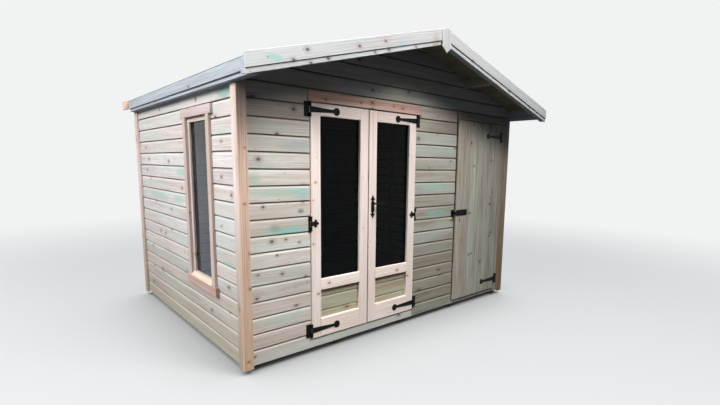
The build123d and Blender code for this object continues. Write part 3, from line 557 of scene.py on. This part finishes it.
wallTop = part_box("left_wall")[1].z
apexUnder = wallTop + rightFace * slopeTan
roofCuts = [((0, 0, apexUnder), (side * math.sin(pitch), 0, math.cos(pitch))) for side in (-1, 1)]
leftLow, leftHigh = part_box("front_wall_left")
midLow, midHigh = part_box("front_wall_middle")
endLow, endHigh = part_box("front_wall_right")
wallFoot, cover = shiplap["foot"], shiplap["cover"]
courseTop = wallFoot + shiplap["courses"] * cover
upperTop = courseTop + cover
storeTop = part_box("store_door_boards")[1].z
storeHead = storeTop + doorGap
for name, low, high, material in (
    ("front_wall_left", leftLow, leftHigh, frontCladding),
    ("front_wall_middle", midLow, midHigh, middleShadeCladding),
    ("front_wall_right", endLow, endHigh, middleShadeCladding),
):
    boardWall("front", "shiplap_" + name, name, material, [(low.x, high.x, low.z, courseTop)])
boardWall("front", "shiplap_front_gable", "front_gable_wall", frontCladding, [
    (leftLow.x, leftHigh.x, courseTop, upperTop), (leftHigh.x, midLow.x, leftHigh.z, upperTop),
    (midLow.x, midHigh.x, courseTop, upperTop), (midHigh.x, endLow.x, storeHead, upperTop),
    (endLow.x, endHigh.x, courseTop, upperTop), (leftLow.x, endHigh.x, upperTop, apexUnder),
], roofCuts)
for name, start, end, top, material in (
    ("shiplap_threshold", leftHigh.x, midLow.x, thresholdTop, frontCladding),
    ("shiplap_store_threshold", midHigh.x, endLow.x, storeThresholdTop, storeBoards),
):
    boardWall("front", name, "threshold_boards", material, [(start, end, wallFoot, top)])
boardWall("back", "shiplap_back", "back_wall", plainCladding, [
    (leftFace, rightFace, wallFoot, apexUnder),
], roofCuts)

sideFront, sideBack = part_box("left_wall")[0].y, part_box("left_wall")[1].y
windowLow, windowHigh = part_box("window_frame")
sillCourse = wallFoot + shiplap["sillCourses"] * cover
boardWall("left", "shiplap_left", "left_wall", sideCladding, [
    (sideFront, sideBack, wallFoot, sillCourse), (sideFront, windowLow.y, sillCourse, courseTop),
    (windowHigh.y, sideBack, sillCourse, courseTop), (windowLow.y, windowHigh.y, sillCourse, windowLow.z),
    (windowLow.y, windowHigh.y, windowHigh.z, courseTop), (sideFront, sideBack, courseTop, wallTop),
])
boardWall("right", "shiplap_right", "right_wall", plainCladding, [(sideFront, sideBack, wallFoot, wallTop)])
print("walls boarded")


# Straight trims: one timber for each box
def trimSet(name, node, material, seed, grain, boxes, bevel=0.0025):
    trims = Joinery(name, seed, node)
    for low, high in boxes:
        trims.box(low, high, grain, bevel)
    trims.finish(material, "planed_trim")


cornerLow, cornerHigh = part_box("front_corner_boards")
backLow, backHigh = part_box("back_corner_boards")
sideLow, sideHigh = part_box("side_corner_boards")
corner = {"frontWidth": 0.07, "sideWidth": 0.062, "jambWidth": 0.038, "joint": 0.001, "postWidth": 0.052}
wide, narrow, jamb = corner["frontWidth"], corner["sideWidth"], corner["jambWidth"]
postLeft = endLow.x + jamb + corner["joint"]
trimSet("cornerBoardsFront", "front_corner_boards", planed, 21, alongZ, [
    (cornerLow, (cornerLow.x + wide, cornerHigh.y, cornerHigh.z)),
])
trimSet("cornerBoardsRight", "front_corner_boards", weathered, 26, alongZ, [
    ((cornerHigh.x - wide, cornerLow.y, cornerLow.z), cornerHigh),
    ((postLeft, cornerLow.y, wallFoot), (postLeft + corner["postWidth"], cornerHigh.y, storeTop)),
])
trimSet("storeJambBoard", "front_corner_boards", storeBoards, 25, alongZ, [
    ((endLow.x, cornerLow.y, wallFoot), (endLow.x + jamb, cornerHigh.y, storeTop)),
])
trimSet("cornerBoardsBack", "back_corner_boards", planed, 22, alongZ, [
    (backLow, (backLow.x + wide, backHigh.y, backHigh.z)),
    ((backHigh.x - wide, backLow.y, backLow.z), backHigh),
])
trimSet("cornerBoardsSide", "side_corner_boards", sideTrim, 23, alongZ, [
    ((x0, y0, sideLow.z), (x1, y1, sideHigh.z))
    for x0, x1 in ((sideLow.x, leftFace), (rightFace, sideHigh.x))
    for y0, y1 in ((sideLow.y, sideLow.y + narrow), (sideHigh.y - narrow, sideHigh.y))
])
headTrim = {"rightLap": 0.052, "storeLap": 0.008, "height": 0.07}
headLow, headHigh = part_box("door_head_trims")
trimSet("doorHeadBoard", "door_head_trims", headTimber, 24, alongX, [
    (headLow, (midLow.x + headTrim["rightLap"], headHigh.y, headLow.z + headTrim["height"])),
])
trimSet("storeHeadBoard", "door_head_trims", weathered, 27, alongX, [
    ((midHigh.x - headTrim["storeLap"], headLow.y, headHigh.z - headTrim["height"]), headHigh),
])


# A stile or rail, as points of depth and position, with its rebates for the glass or the panel
def rebated(depths, start, end, endLap, startLap=0.0):
    front, middle, back = depths
    near = [(front, start)] + ([(middle, start), (middle, start + startLap)] if startLap else [])
    far = [(back, end + endLap)] + ([(middle, end + endLap), (middle, end)] if endLap else [])
    return near + [(back, start + startLap)] + far + [(front, end)]


# Window
window = {
    "width": 0.43, "foot": 0.52, "headLap": 0.012, "stile": 0.035, "glassDepth": 0.016, "lap": 0.01,
    "sillSlope": 32.0, "sillBevel": 0.003,
}
windowCentre = (windowLow.y + windowHigh.y) / 2
openLow, openHigh = windowCentre - window["width"] / 2, windowCentre + window["width"] / 2
paneLow, paneHigh = openLow + window["stile"], openHigh - window["stile"]
paneFoot, paneHead = window["foot"] + window["stile"], windowHigh.z - window["headLap"] - window["stile"]
slopeTop = paneFoot - window["glassDepth"] * math.tan(math.radians(window["sillSlope"]))
sash = Joinery("windowSash", 31, "window_frame")
depths, lap = (leftFace, leftFace + window["glassDepth"], windowHigh.x), window["lap"]
for edge, inner, tuck in ((windowLow.y, paneLow, -lap), (windowHigh.y, paneHigh, lap)):
    sash.add(rebated(depths, edge, inner, tuck), "Z", windowLow.z, windowHigh.z, alongZ)
sash.add(rebated(depths, windowHigh.z, paneHead, lap), "Y", paneLow, paneHigh, alongY)
bottom = rebated(depths, windowLow.z, paneFoot, -lap)[:-1] + [(leftFace, slopeTop)]
sash.add(bottom, "Y", paneLow, paneHigh, alongY)
sash.finish(windowTimber, "planed_trim")
sideTrimLow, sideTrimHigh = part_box("window_side_trims")
trimSet("windowSideTrims", "window_side_trims", windowTimber, 32, alongZ, [
    (sideTrimLow, (sideTrimHigh.x, openLow, sideTrimHigh.z)),
    ((sideTrimLow.x, openHigh, sideTrimLow.z), sideTrimHigh),
])
trimSet("windowHeadTrim", "window_head_trim", windowHeadTimber, 33, alongY, [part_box("window_head_trim")])
wedge = Joinery("windowSillWedge", 35, "window_sill")
trimSet("windowSill", "window_sill", sillTimber, 34, alongY, [
    (wedge.low, (wedge.high.x, wedge.high.y, window["foot"])),
], window["sillBevel"])
wedge.add([
    (leftFace, window["foot"]), (leftFace, slopeTop), (wedge.low.x, window["foot"]),
], "Y", openLow, openHigh, alongY, 0.0)
wedge.finish(wedgeTimber, "planed_trim")
print("trims and window made")


# Glazed door leaves
leaf = {
    "stile": 0.08, "topRail": 0.086, "middleRail": 0.083, "bottomRail": 0.142, "panel": 0.224,
    "glassDepth": 0.026, "lap": 0.01, "bevel": 0.002,
    "railTone": (0.95, 0.3, 0.2), "stileTone": (0.42, 0.4, 0.3),
}
lap, bevel = leaf["lap"], leaf["bevel"]
for side, seed in (("left", 41), ("right", 42)):
    joinery = Joinery(side + "DoorJoinery", seed, side + "_door_frame")
    low, high = joinery.low, joinery.high
    depths = (low.y, low.y + leaf["glassDepth"], high.y)
    inLow, inHigh = low.x + leaf["stile"], high.x - leaf["stile"]
    for edge, inner, tuck in ((low.x, inLow, -lap), (high.x, inHigh, lap)):
        outline = [(x, y) for y, x in rebated(depths, edge, inner, tuck)]
        joinery.add(outline, "Z", low.z, high.z, alongZ, bevel, tone=leaf["stileTone"])
    panelFoot = low.z + leaf["bottomRail"]
    panelHead = panelFoot + leaf["panel"]
    paneBottom = panelHead + leaf["middleRail"]
    paneTop = high.z - leaf["topRail"]
    for foot, head, headLap, footLap, tone in (
        (low.z, panelFoot, -lap, 0.0, leaf["railTone"]), (panelHead, paneBottom, -lap, lap, leaf["railTone"]),
        (paneTop, high.z, 0.0, lap, None),
    ):
        rail = rebated(depths, foot, head, headLap, footLap)
        joinery.add(rail, "X", inLow, inHigh, alongX, bevel, tone=tone)
    joinery.finish(doorTimber, "planed_trim", side + "_door")
    boards = Joinery(side + "DoorPanel", 43, side + "_door_panel")
    low, high = boards.low, boards.high
    for course in (0.5, 1.5, 2.5):  # below the middle rail
        lapBoard(boards, "X", low.y, 1, low.x, high.x, panelHead - course * cover, low.z, high.z)
    boards.finish(doorPanel, "cladding", side + "_door")
print("glazed doors made")


# Store door: upright boards with V joints, on ledges
store = {  # tones are brightness, warmth and damp, board by board from the latch side; the falling brightness is partly the boards' own tone and partly painted shade
    "vee": 0.0035, "gap": 0.001, "bevel": 0.0008, "ledge": 0.095, "ledgeBevel": 0.004,
    "tones": [
        (0.72, 0.95, 0.1), (0.66, 0.9, 0.2), (0.7, 0.2, 0.8), (0.46, 0.1, 0.7), (0.5, 0.3, 0.9),
        (0.34, 0.2, 0.5), (0.3, 0.4, 0.4),
    ],
}
boards = Joinery("storeDoorBoards", 51, "store_door_boards")
low, high = boards.low, boards.high
vee, last = store["vee"], len(store["tones"]) - 1
pace = (high.x - low.x) / len(store["tones"])
for count, tone in enumerate(store["tones"]):
    x0 = low.x + count * pace + (store["gap"] / 2 if count else 0)
    x1 = low.x + (count + 1) * pace - (store["gap"] / 2 if count < last else 0)
    boards.add([
        (x0 + vee, low.y), (x1 - vee, low.y), (x1, low.y + vee), (x1, high.y), (x0, high.y), (x0, low.y + vee)
    ], "Z", low.z, high.z, alongZ, store["bevel"], tone=tone)
boards.finish(storeBoards, "store_door_boards", "store_door")
ledges = Joinery("storeDoorLedges", 52, "store_door_ledges")
low, high = ledges.low, ledges.high
for foot in (low.z, (low.z + high.z - store["ledge"]) / 2, high.z - store["ledge"]):
    ledges.bar(low.x, high.x, foot, foot + store["ledge"], alongX, store["ledgeBevel"])
ledges.finish(framing, "store_door_boards", "store_door")


# Roof
roof = {
    "board": 0.012, "cover": 0.1, "vee": 0.002, "sheet": 0.0025,
    "sheets": ((0.0, 0.16, 1.15), (0.09, 0.84, 1.05), (0.76, None, 0)),  # start, end at the eave or above, lift
}
clout = {
    "radius": 0.006, "taper": 0.7, "height": 0.0016, "sides": 8, "sink": 0.0003, "pace": 0.15, "edge": 0.02,
    "vergePace": 0.2,
}
slope = {side: Vector((side * math.cos(pitch), 0, -math.sin(pitch))) for side in (-1, 1)}


def under(x):  # the underside of the roof boards
    return apexUnder - abs(x) * slopeTan


def slopePoint(side, x, above):  # a point over the underside of the roof boards
    return (side * x, under(x) + above * rise)


for side, word in ((-1, "left"), (1, "right")):
    boards = Joinery("roofBoards" + word.capitalize(), 61 + side, "roof_boards_" + word)
    low, high = boards.low, boards.high
    eave = max(abs(low.x), abs(high.x))
    count = round(eave / math.cos(pitch) / roof["cover"])
    pace, vee, thick = eave / count, roof["vee"], roof["board"]
    for place in range(count):
        x0, x1 = place * pace, (place + 1) * pace
        boards.add([slopePoint(side, x, above) for x, above in (
            (x0 + vee, 0.0), (x1 - vee, 0.0), (x1, vee), (x1, thick), (x0, thick), (x0, vee),
        )], "Y", low.y, high.y, alongY, 0.0)
    boards.finish(roofUndersidePaintedShade, "roof_boards")
    sheets = Joinery("roofFelt" + word.capitalize(), 65, "roof_felt_" + word)
    low, high = sheets.low, sheets.high
    eave = max(abs(low.x), abs(high.x))
    base, thick, edge = roof["board"], roof["sheet"], clout["edge"]
    nails = bmesh.new()
    tilt = Matrix.Rotation(side * pitch, 4, "Y")
    for x0, x1, lift in roof["sheets"]:
        x1 = x1 or eave
        sheets.add([slopePoint(side, x, above) for x, above in (
            (x0, base), (x1, base + lift * thick), (x1, base + (lift + 1) * thick), (x0, base + thick),
        )], "Y", low.y, high.y, alongY, 0.0)
        run, gap = x1 - edge, high.y - low.y - 2 * edge
        count = round(gap / clout["pace"])
        spots = [(run, low.y + edge + gap * place / count) for place in range(count + 1)]
        for x in (run - clout["vergePace"], run - 2 * clout["vergePace"]):  # more along the verges
            if x > x0 + clout["vergePace"] / 2:
                spots += [(x, low.y + edge), (x, high.y - edge)]
        for x, y in spots:
            across, up = slopePoint(side, x, base + thick * (1 + lift * (x - x0) / (x1 - x0)))
            seat = Matrix.Translation((0, 0, clout["height"] / 2 - clout["sink"]))
            roundHead(nails, clout, Matrix.Translation((across, y, up)) @ tilt @ seat)
    sheets.finish(felt, "roof_felt")
    makePiece("feltNails" + word.capitalize(), nails, sheets.node, galvanised, "building")


barge = {
    "over": 0.008, "depth": 0.082, "rafter": 0.088, "mitre": 0.00025, "bevel": 0.002,
    "strip": 0.030, "stripThick": 0.012, "stripGap": 0.001,  # the cover strip under the bargeboard
    "finialDrop": 0.142, "finialThick": 0.01, "finialBevel": 0.003,
}
purlin = {"at": 0.76, "width": 0.045, "depth": 0.07, "spare": 0.1}  # the spare is cut off at the boards
bargeLow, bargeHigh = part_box("front_bargeboards")
backVergeLow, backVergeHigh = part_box("back_bargeboards")
rafterLow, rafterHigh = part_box("verge_rafters")
bargeTop, bargeDepth, bargeBevel = roof["board"] + barge["over"], barge["depth"], barge["bevel"]
for name, node, slot, material, seed, above, depth, y0, y1 in (  # depth is square to the slope
    ("bargeboardsFront", "front_bargeboards", "roof_trim", bargeTimber, 71, bargeTop, bargeDepth,
     bargeLow.y, bargeHigh.y),
    ("vergeStrips", "front_bargeboards", "roof_trim", bargeTimber, 78,
     bargeTop - bargeDepth - barge["stripGap"], barge["strip"], bargeHigh.y - barge["stripThick"], bargeHigh.y),
    ("bargeboardsBack", "back_bargeboards", "roof_trim", planed, 72, bargeTop, bargeDepth,
     backVergeLow.y, backVergeHigh.y),
    ("vergeRafters", "verge_rafters", "framing_timber", fasciaTimber, 73, 0.0, barge["rafter"],
     rafterLow.y, rafterHigh.y),
):
    boards = Joinery(name, seed, node)
    for side in (-1, 1):
        top0, top1 = slopePoint(side, barge["mitre"], above), slopePoint(side, bargeHigh.x, above)
        outline = [top0, top1, (top1[0], top1[1] - depth * rise), (top0[0], top0[1] - depth * rise)]
        boards.add(outline, "Y", y0, y1, slope[side], bargeBevel)
    boards.finish(material, slot)

rails = Joinery("eaveRails", 74, "eave_rails")
low, high, railX = rails.low, rails.high, rails.high.x
for side in (-1, 1):
    rails.add([(side * x, z) for x, z in (
        (rightFace, low.z), (railX, low.z), (railX, under(railX)), (rightFace, under(rightFace)),
    )], "Y", low.y, high.y, alongY, bargeBevel)
rails.finish(fasciaTimber, "roof_trim")
fascias = Joinery("fasciaBoards", 75, "fascia_boards")
low, high = fascias.low, fascias.high
for side in (-1, 1):
    fascias.add([
        (side * railX, low.z), (side * high.x, low.z), slopePoint(side, high.x, roof["board"]),
        slopePoint(side, railX, roof["board"]),
    ], "Y", low.y, high.y, alongY, bargeBevel)
fascias.finish(fasciaTimber, "roof_trim")
purlins = Joinery("purlins_timber", 76, "purlins")
low, high = purlins.low, purlins.high
for centre in (-purlin["at"], 0.0, purlin["at"]):
    x0, x1 = centre - purlin["width"] / 2, centre + purlin["width"] / 2
    foot, head = under(centre) - purlin["depth"], apexUnder + purlin["spare"]
    outline = [(x0, foot), (x1, foot), (x1, head), (x0, head)]
    purlins.add(outline, "Y", low.y, high.y, alongY, bargeBevel, roofCuts)
purlins.finish(framing, "framing_timber")
low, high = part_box("finials")
half, shoulder, thick = high.x, high.z - barge["finialDrop"], barge["finialThick"]
for name, y0, y1, material in (
    ("finialFront", low.y, low.y + thick, bargeTimber), ("finialBack", high.y - thick, high.y, planed),
):
    finial = Joinery(name, 77, "finials")
    finial.add([
        (0, high.z), (half, high.z - half * slopeTan), (half, shoulder), (0, low.z), (-half, shoulder),
        (-half, high.z - half * slopeTan),
    ], "Y", y0, y1, alongZ, barge["finialBevel"])
    finial.finish(material, "roof_trim")

flooring = {"boards": 21, "boardBevel": 0.0012, "bearers": 5, "bearerWidth": 0.07, "bearerBevel": 0.002}
deck = Joinery("floorBoards", 81, "floor_deck")
low, high = deck.low, deck.high
pace = (high.y - low.y) / flooring["boards"]
for place in range(flooring["boards"]):
    y0, y1 = low.y + place * pace, low.y + (place + 1) * pace
    deck.box((low.x, y0, low.z), (high.x, y1, high.z), alongX, flooring["boardBevel"])
deck.finish(framing, "floor_timber")
bearers = Joinery("floorBearers", 82, "floor_bearers")
low, high, width = bearers.low, bearers.high, flooring["bearerWidth"]
for place in range(flooring["bearers"]):
    x0 = low.x + place * (high.x - low.x - width) / (flooring["bearers"] - 1)
    bearers.bar(x0, x0 + width, low.z, high.z, alongY, flooring["bearerBevel"])
bearers.finish(framing, "floor_timber")
print("roof and floor made")


# Wall frames: studs, plates and rafters inside the cladding
stud = {
    "width": 0.045, "stopWidth": 0.015, "stopDepth": 0.021, "rafterExtra": 0.012, "seat": 0.014,
    "postGap": 0.0005, "plateDrop": 0.062, "rightStuds": 5,
}
half, thick, stop = stud["width"] / 2, stud["width"], stud["stopWidth"]
deckTop = deck.high.z
plateTop, headTop = deckTop + thick, storeHead + thick


def gableTimbers(timbers):
    low, high = timbers.low, timbers.high
    for x0, x1 in ((low.x, low.x + thick), (high.x - thick, high.x)):
        timbers.bar(x0, x1, headTop, under(low.x) - stud["plateDrop"], alongZ)
    chord = thick * rise + stud["rafterExtra"]
    notch, seat = under(purlin["at"]) - purlin["depth"], under(purlin["at"]) - purlin["depth"] - stud["seat"]
    inner, outer, reach = purlin["at"] - half, purlin["at"] + half, high.x
    for side in (-1, 1):
        timbers.add([(side * x, z) for x, z in (
            (half, under(half)), (inner, under(inner)), (inner, notch), (outer, notch), (outer, under(outer)),
            (reach, under(reach)), (reach, under(reach) - chord), (outer, seat), (inner, seat),
            (half, under(half) - purlin["depth"] - chord),
        )], "Y", low.y, high.y, slope[side], 0.0)
    timbers.bar(-half, half, headTop, apexUnder - purlin["depth"] - stud["postGap"], alongZ)


timbers = Joinery("frontFrame", 91, "front_wall_frame")
low, high = timbers.low, timbers.high
for x0, x1 in (
    (low.x, low.x + thick), (leftHigh.x - thick, leftHigh.x), (midLow.x, midLow.x + thick),
    (midHigh.x - thick, midHigh.x), (endLow.x, high.x - thick), (high.x - thick, high.x),
):
    timbers.bar(x0, x1, plateTop, storeHead, alongZ)
for x0, x1 in ((low.x, leftHigh.x), (midLow.x, midHigh.x), (endLow.x, high.x)):
    timbers.bar(x0, x1, deckTop, plateTop, alongX)
timbers.bar(low.x, high.x, storeHead, headTop, alongX)
for x0, x1, head in ((leftHigh.x, midLow.x, leftHigh.z), (midHigh.x, endLow.x, storeHead)):  # door stops
    deep = low.y + stud["stopDepth"]
    timbers.box((x0, low.y, deckTop), (x0 + stop, deep, head), alongZ)
    timbers.box((x1 - stop, low.y, deckTop), (x1, deep, head), alongZ)
    timbers.box((x0 + stop, low.y, head - stop), (x1 - stop, deep, head), alongX)
timbers.bar(leftHigh.x, midLow.x, leftHigh.z, storeHead, alongX)
gableTimbers(timbers)
timbers.finish(framing, "framing_timber")

timbers = Joinery("backFrame", 92, "back_wall_frame")
low, high = timbers.low, timbers.high
for centre in (low.x + half, -purlin["at"], 0.0, purlin["at"], high.x - half):
    timbers.bar(centre - half, centre + half, plateTop, storeHead, alongZ)
timbers.bar(low.x, high.x, low.z, plateTop, alongX)
timbers.bar(low.x, high.x, storeHead, headTop, alongX)
gableTimbers(timbers)
timbers.finish(framing, "framing_timber")

leftFrame = Joinery("leftFrame", 93, "left_wall_frame")
rightFrame = Joinery("rightFrame", 94, "right_wall_frame")
low, high = leftFrame.low, leftFrame.high
rearStud = (windowHigh.y + thick + high.y - thick) / 2
leftStuds = [low.y, windowLow.y - thick, windowHigh.y, rearStud - half, high.y - thick]
low, high = rightFrame.low, rightFrame.high
pace = (high.y - low.y - thick) / (stud["rightStuds"] - 1)
rightStuds = [low.y + count * pace for count in range(stud["rightStuds"])]
trimmers = [(windowLow.y, windowHigh.y, z0) for z0 in (windowLow.z - thick, windowHigh.z)]
for timbers, studs, across in ((leftFrame, leftStuds, trimmers), (rightFrame, rightStuds, ())):
    low, high = timbers.low, timbers.high
    for y0 in studs:
        timbers.box((low.x, y0, low.z + thick), (high.x, y0 + thick, high.z - thick), alongZ)
    for y0, y1, z0 in ((low.y, high.y, low.z), (low.y, high.y, high.z - thick), *across):
        timbers.box((low.x, y0, z0), (high.x, y1, z0 + thick), alongY)
    timbers.finish(framing, "framing_timber")
print("wall frames made")


# Ironwork: the node's own shape with its edges eased, and screw heads on its face
ironwork = {"metal": 0.003, "axisGap": 0.003, "merge": 1e-5, "flat": 2.0, "sharp": 0.6, "bevel": 0.0006}
screw = {
    "radius": 0.0042, "taper": 0.6, "height": 0.0014, "sides": 10, "sink": 0.0003,
    "alongStrap": (0.05, 0.11, 0.17), "columns": (0.015, 0.036), "rows": (-0.038, 0.038),
}
hung = {  # node, side of its hinges, face under their plates, and their centres under its top and over its foot
    "left": ("left_door_frame", -1, frontFace, 0.046, 0.065),
    "right": ("right_door_frame", 1, frontFace, 0.046, 0.065),
    "store": ("store_door_boards", 1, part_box("store_door_boards")[0].y, 0.126, 0.108),
}
plateHeads, strapHeads = [], {}
for door, (node, side, plateFace, underTop, overFoot) in hung.items():
    low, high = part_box(node)
    axisX = high.x + ironwork["axisGap"] if side > 0 else low.x - ironwork["axisGap"]
    centres = (high.z - underTop, low.z + overFoot)
    strapHeads[door] = [
        (axisX - side * along, low.y - ironwork["metal"], z) for z in centres for along in screw["alongStrap"]
    ]
    plateHeads += [
        (axisX + side * along, plateFace - ironwork["metal"], z + row)
        for z in centres for along in screw["columns"] for row in screw["rows"]
    ]
for name, node, body, heads in (
    ("hingePlates", "hinge_plates", "building", plateHeads),
    ("leftDoorHinges", "left_door_hinges", "left_door", strapHeads["left"]),
    ("rightDoorHinges", "right_door_hinges", "right_door", strapHeads["right"]),
    ("storeDoorHinges", "store_door_hinges", "store_door", strapHeads["store"]),
    ("handlePlate", "door_handle_plate", "right_door", ()), ("leverHandle", "door_lever", "lever", ()),
    ("padBolt", "store_door_bolt", "store_door", ()), ("boltKeep", "bolt_keep", "building", ()),
):
    work = bmesh.new()
    work.from_mesh(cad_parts[node].data)
    bmesh.ops.remove_doubles(work, verts=work.verts[:], dist=ironwork["merge"])
    flat = math.radians(ironwork["flat"])
    bmesh.ops.dissolve_limit(work, verts=work.verts[:], edges=work.edges[:], angle_limit=flat)
    takeOffArrises(work, ironwork["sharp"], ironwork["bevel"], 2)
    for x, y, z in heads:
        middle = Vector((x, y + screw["sink"] - screw["height"] / 2, z))
        roundHead(work, screw, Matrix.Translation(middle) @ Matrix.Rotation(math.pi / 2, 4, "X"))
    makePiece(name, work, node, iron, body)

for node, glass in (
    ("window_glass", windowGlass), ("left_door_glass", doorGlass), ("right_door_glass", doorGlass),
):
    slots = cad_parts[node].data.materials
    slots.clear()
    slots.append(glass)
print("ironwork and glass made")


# Stage, light and camera
studio = {
    "floorSize": 80.0, "pale": (0.88, 0.89, 0.89, 1.0), "floorGlow": 0.56,
    "floorShade": (0.15, 0.15, 0.15, 1.0), "floorBounce": (0.024, 0.03, 0.036, 1.0), "contact": 0.9,
    "fadeStart": 3.0, "fadeEnd": 9.0, "skyLight": (0.8, 0.9, 1.0, 1.0),
    "skyRise": (0.5, 0.95, 0.03, 1.4),  # from and to, as a share of straight up, and strength before and after
    "brighter": (  # parts of the sky: direction, where the rise starts and ends, and strength
        ((0.68, 0.68, 0.28), 0.1, 0.95, 1.1), ((-0.98, 0.1, 0.18), 0.7, 1.0, 0.9),
    ),
    "lamps": {  # place, aim, size, power and spread in degrees
        "frontLamp": ((0.1, -4.8, 5.9), (-6.0, -1.2, 0.6), 2.4, 598.0, 180.0),
        "cornerLamp": ((-2.4, -4.4, 2.9), (-1.5, -1.22, 1.7), 0.8, 1.1, 34.0),
        "sideLamp": ((-6.3, -1.3, 5.0), (-1.5, -0.4, 1.2), 2.6, 525.0, 180.0),
    },
}


def seenDirectly(shader):
    path = shader.put("LightPath").outputs
    seen = shader.maths("MAXIMUM", path["Is Camera Ray"], path["Is Glossy Ray"])
    seen = shader.maths("MAXIMUM", seen, path["Is Transmission Ray"])
    return shader.maths("MULTIPLY", seen, shader.maths("LESS_THAN", path["Diffuse Depth"], 0.5))


stage = Shader(bpy.data.materials.new("paleFloor"))
far = stage.ease(stage.vector("LENGTH", stage.place()), studio["fadeStart"], studio["fadeEnd"])
# The floor's glow is dimmed by ambient occlusion near and under the building: a painted contact shadow. The
# diffuse part keeps the lamps' real shadow.
clearance = stage.put("AmbientOcclusion", {"Distance": studio["contact"]}, samples=8).outputs["AO"]
glow = stage.maths("MULTIPLY", stage.ease(clearance, 0.0, 0.9), studio["floorGlow"])
glow = stage.put("Emission", {0: studio["pale"], 1: glow}).outputs[0]
shade = stage.put("BsdfDiffuse", {"Color": studio["floorShade"]}).outputs[0]
near = stage.put("AddShader", {0: glow, 1: shade}).outputs[0]
beyond = stage.put("Emission", {0: studio["pale"], 1: 1.0}).outputs[0]
seenFloor = stage.put("MixShader", {0: far, 1: near, 2: beyond}).outputs[0]
bounce = stage.put("BsdfDiffuse", {"Color": studio["floorBounce"]}).outputs[0]
surface = stage.put("MixShader", {0: seenDirectly(stage), 1: bounce, 2: seenFloor}).outputs[0]
floorMesh = bpy.data.meshes.new("floor")
work = bmesh.new()
bmesh.ops.create_grid(work, x_segments=1, y_segments=1, size=studio["floorSize"] / 2)
work.to_mesh(floorMesh)
work.free()
floorMesh.materials.append(stage.finish(surface))
floor = bpy.data.objects.new("floor", floorMesh)
bpy.context.scene.collection.objects.link(floor)
floor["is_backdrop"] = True

world = bpy.data.worlds.new("studio")
bpy.context.scene.world = world
sky = Shader(world)
towards = sky.vector("NORMALIZE", sky.put("TexCoord").outputs["Generated"])
strength = sky.ease(sky.level(towards), *studio["skyRise"])
for direction, start, end, power in studio["brighter"]:
    facing = sky.vector("DOT_PRODUCT", towards, direction)
    strength = sky.maths("ADD", strength, sky.ease(facing, start, end, 0.0, power))
light = sky.put("Background", {0: studio["skyLight"], 1: strength}).outputs[0]
backdrop = sky.put("Background", {0: studio["pale"], 1: 1.0}).outputs[0]
both = sky.put("MixShader", {0: seenDirectly(sky), 1: light, 2: backdrop}).outputs[0]
sky.put("OutputWorld", {0: both})

for name, (place, aim, size, power, spread) in studio["lamps"].items():
    lampData = bpy.data.lights.new(name, "AREA")
    lampData.energy, lampData.size, lampData.spread = power, size, math.radians(spread)
    lamp = bpy.data.objects.new(name, lampData)
    lamp.location = place
    lamp.rotation_euler = (Vector(aim) - Vector(place)).to_track_quat("-Z", "Y").to_euler()
    bpy.context.scene.collection.objects.link(lamp)

view = {
    "place": (-2.67377, -3.87731, 1.43037), "heading": 42.777, "tilt": 8.334, "roll": -1.0,
    "lens": 21.517, "sensor": 36.0, "shiftX": -0.0402, "shiftY": 0.0350,
}
heading, tilt, roll = (math.radians(view[name]) for name in ("heading", "tilt", "roll"))
forward = Vector((math.sin(heading) * math.cos(tilt), math.cos(heading) * math.cos(tilt), -math.sin(tilt)))
level = Vector((math.cos(heading), -math.sin(heading), 0))
down = forward.cross(level)
right = math.cos(roll) * level + math.sin(roll) * down
below = math.cos(roll) * down - math.sin(roll) * level
cameraData = bpy.data.cameras.new("camera")
cameraData.sensor_width, cameraData.lens = view["sensor"], view["lens"]
cameraData.shift_x, cameraData.shift_y = view["shiftX"], view["shiftY"]
camera = bpy.data.objects.new("camera", cameraData)
turned = Matrix((right, -below, -forward)).transposed().to_4x4()
camera.matrix_world = Matrix.Translation(view["place"]) @ turned
bpy.context.scene.collection.objects.link(camera)
bpy.context.scene.camera = camera
bpy.context.scene.view_settings.view_transform = "Standard"
print("stage ready")

low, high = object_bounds()
